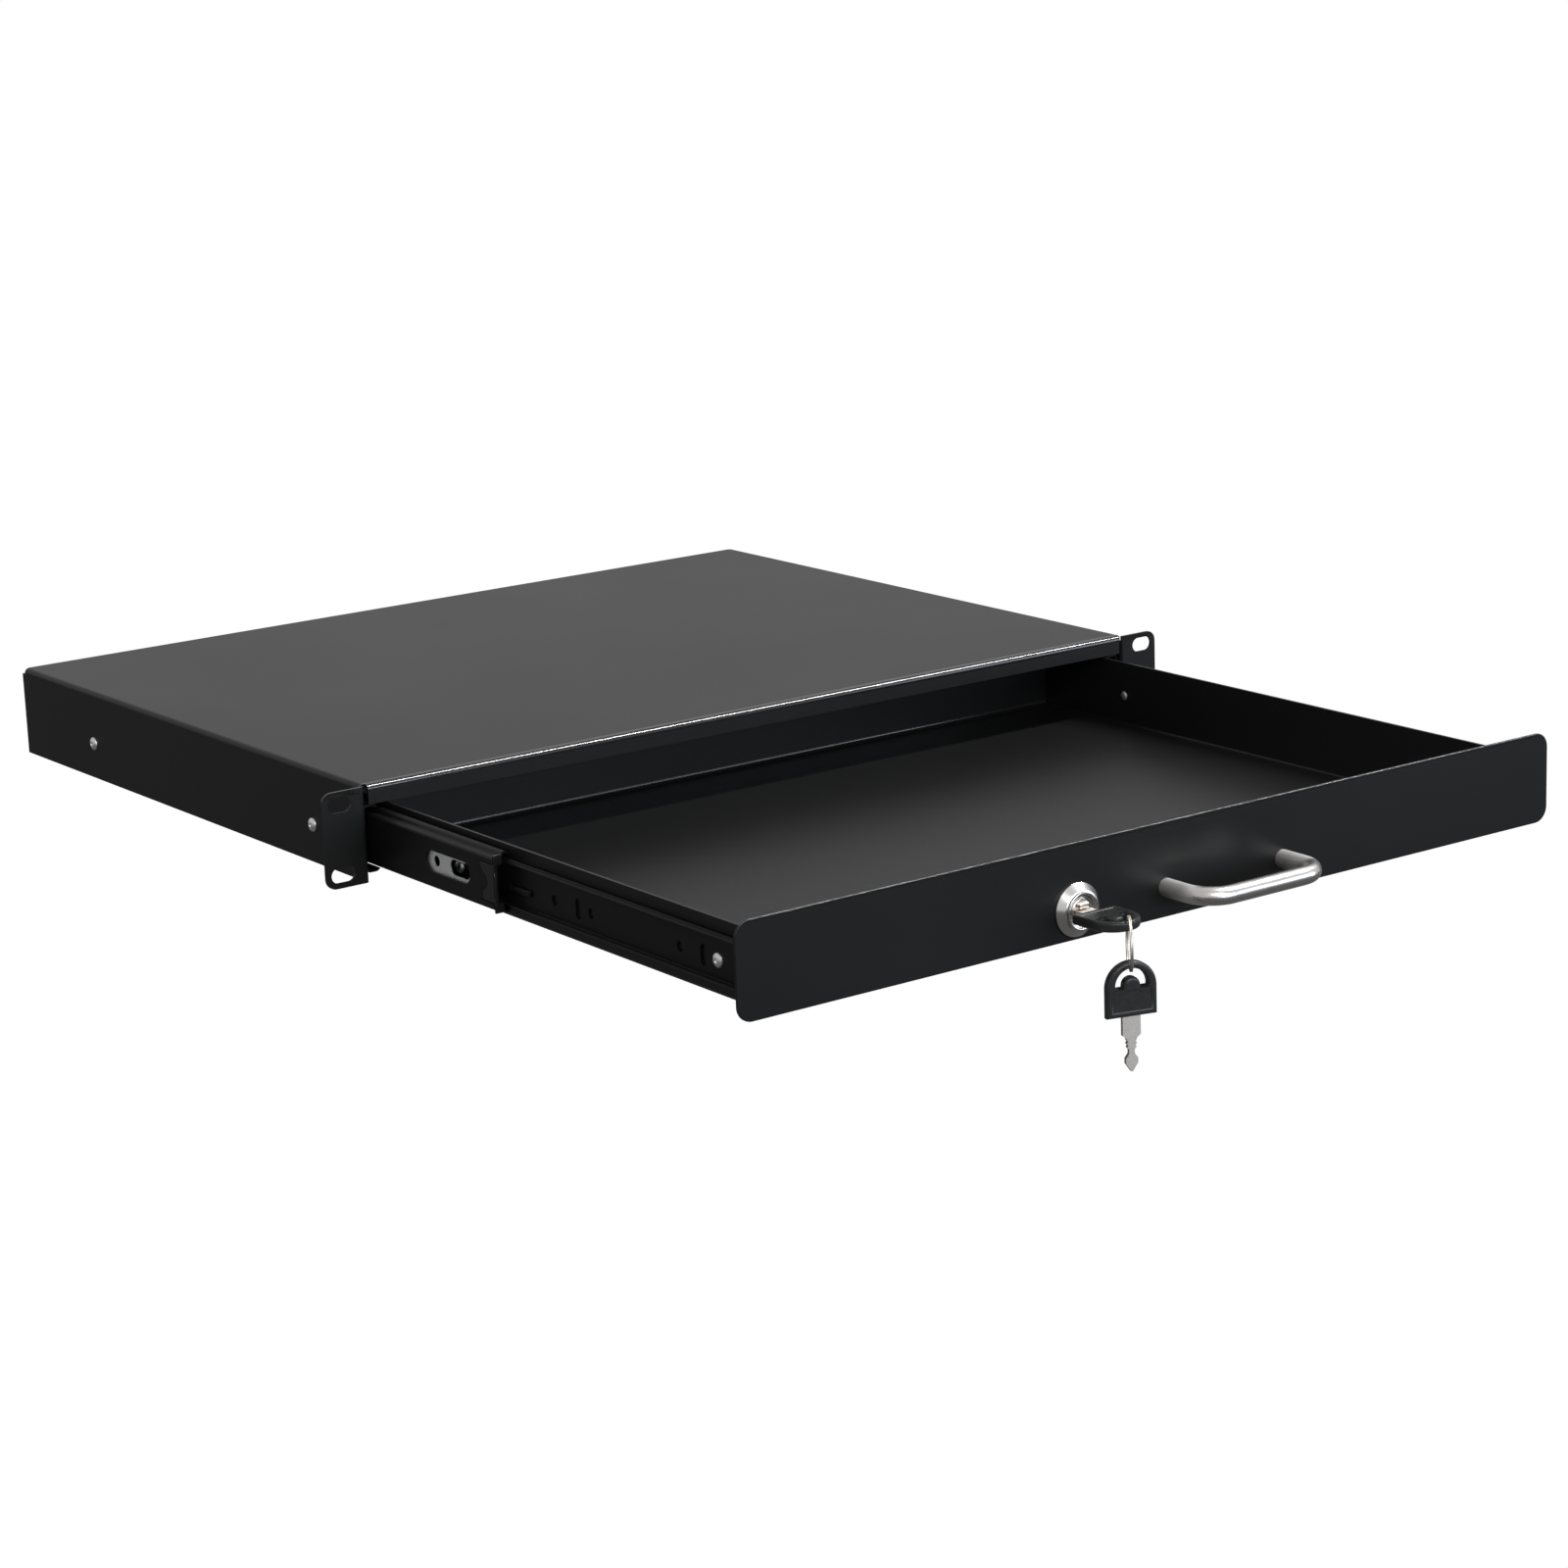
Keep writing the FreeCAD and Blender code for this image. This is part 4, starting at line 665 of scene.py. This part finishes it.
# ---------------------------------------------------------------- keys
# Stamped nickelled blades moulded into black plastic bows. A bow has rounded edges, a crescent slot
# for the ring, and a sunk field above its flat end.
def joined(shapes, place):
    """One bmesh from several, carried to its place."""
    whole = merged(shapes)
    bmesh.ops.transform(whole, matrix=place, verts=whole.verts)
    bmesh.ops.recalc_face_normals(whole, faces=whole.faces)
    return whole


bow_plastic = moulded_plastic("bow_plastic", 0.014, 0.30, 0.28)
low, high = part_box("key_bow")
radius = (high.x - low.x) / 2
length = high.y - low.y
half = (high.z - low.z) / 2
slot = -(length - radius + 0.0008)
outer, inner = 0.0072, 0.0038
tip = (outer - inner) / 2
outline = [(radius, 0), (-radius, 0)] + arc((0, -(length - radius)), radius, 180, 360, 48)
tip_x = (outer + inner) / 2
crescent = (arc((0, slot), outer, 180, 360, 36) + arc((tip_x, slot), tip, 0, 180, 10)
            + arc((0, slot), inner, 360, 180, 24) + arc((-tip_x, slot), tip, 0, 180, 10))
field = [(0.0080, -0.0030), (-0.0080, -0.0030), (-0.0080, -0.0104), (0.0080, -0.0104)]
nickel_key = nickel_plate("nickel_key", 0.52, 0.42)
keys = (("key", "key", Matrix.Translation(((low.x + high.x) / 2, high.y, (low.z + high.z) / 2))),)
low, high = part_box("spare_key_bow")
spare_turn = 16                        # degrees the spare key hangs turned about its blade
hanging = (Matrix.Translation(((low.x + high.x) / 2, (low.y + high.y) / 2, low.z))
           @ Matrix.Rotation(math.radians(-spare_turn), 4, "Z")
           @ Matrix.Rotation(math.radians(-90), 4, "X"))
keys += (("spare_key", "spare_key", hanging),)
for name, body, place in keys:
    frame_part = slab([outline, crescent, field], half, 0.0013, 5)
    floor_part = slab([[(x * 1.08, -0.0067 + (y + 0.0067) * 1.16) for x, y in field]],
                      half - 0.00045, 0.0001, 1)
    piece(name + "_grip", joined([frame_part, floor_part], place), body,
          bow_plastic, [name + "_bow"], 40)
dress(nickel_key, "key_blade", "spare_key_blade")


# ---------------------------------------------------------------- key ring
# A split ring: one spring wire wound twice, its ends side by side.
low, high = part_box("key_ring")
wire = 0.00038
winding = (high.z - low.z) / 2 - 0.00045
steps = 192
half_gap = 0.00058                     # half the distance from one turn's wire to the next
wound, starts_at, swung = 712, 118, 37   # degrees: the wire's length, its start, the ring's plane
shape = bmesh.new()
ends = bmesh.ops.create_circle(shape, segments=12, radius=wire, cap_ends=False)["verts"]
bmesh.ops.translate(shape, vec=(winding, 0, -half_gap), verts=ends)
bmesh.ops.rotate(shape, cent=(winding, 0, -half_gap), verts=ends,
                 matrix=Matrix.Rotation(math.radians(90), 3, "X"))
loop = shape.edges[:]
bmesh.ops.spin(shape, geom=loop, cent=(0, 0, 0), axis=(0, 0, 1), angle=math.radians(wound),
               dvec=(0, 0, 2 * half_gap / steps), steps=steps, use_merge=False, use_duplicate=False)
bmesh.ops.holes_fill(shape, edges=[e for e in shape.edges if e.is_boundary], sides=0)
axis = Vector((-math.cos(math.radians(swung)), math.sin(math.radians(swung)), 0))
turn = Vector((0, 0, 1)).rotation_difference(axis).to_matrix().to_4x4()
spin_start = Matrix.Rotation(math.radians(starts_at), 4, "Z")
bmesh.ops.transform(shape, verts=shape.verts, matrix=Matrix.Translation(
    ((low.x + high.x) / 2, (low.y + high.y) / 2, (low.z + high.z) / 2)) @ turn @ spin_start)
bmesh.ops.recalc_face_normals(shape, faces=shape.faces)
piece("split_ring", shape, "key_ring", nickel_key, ["key_ring"], 50)
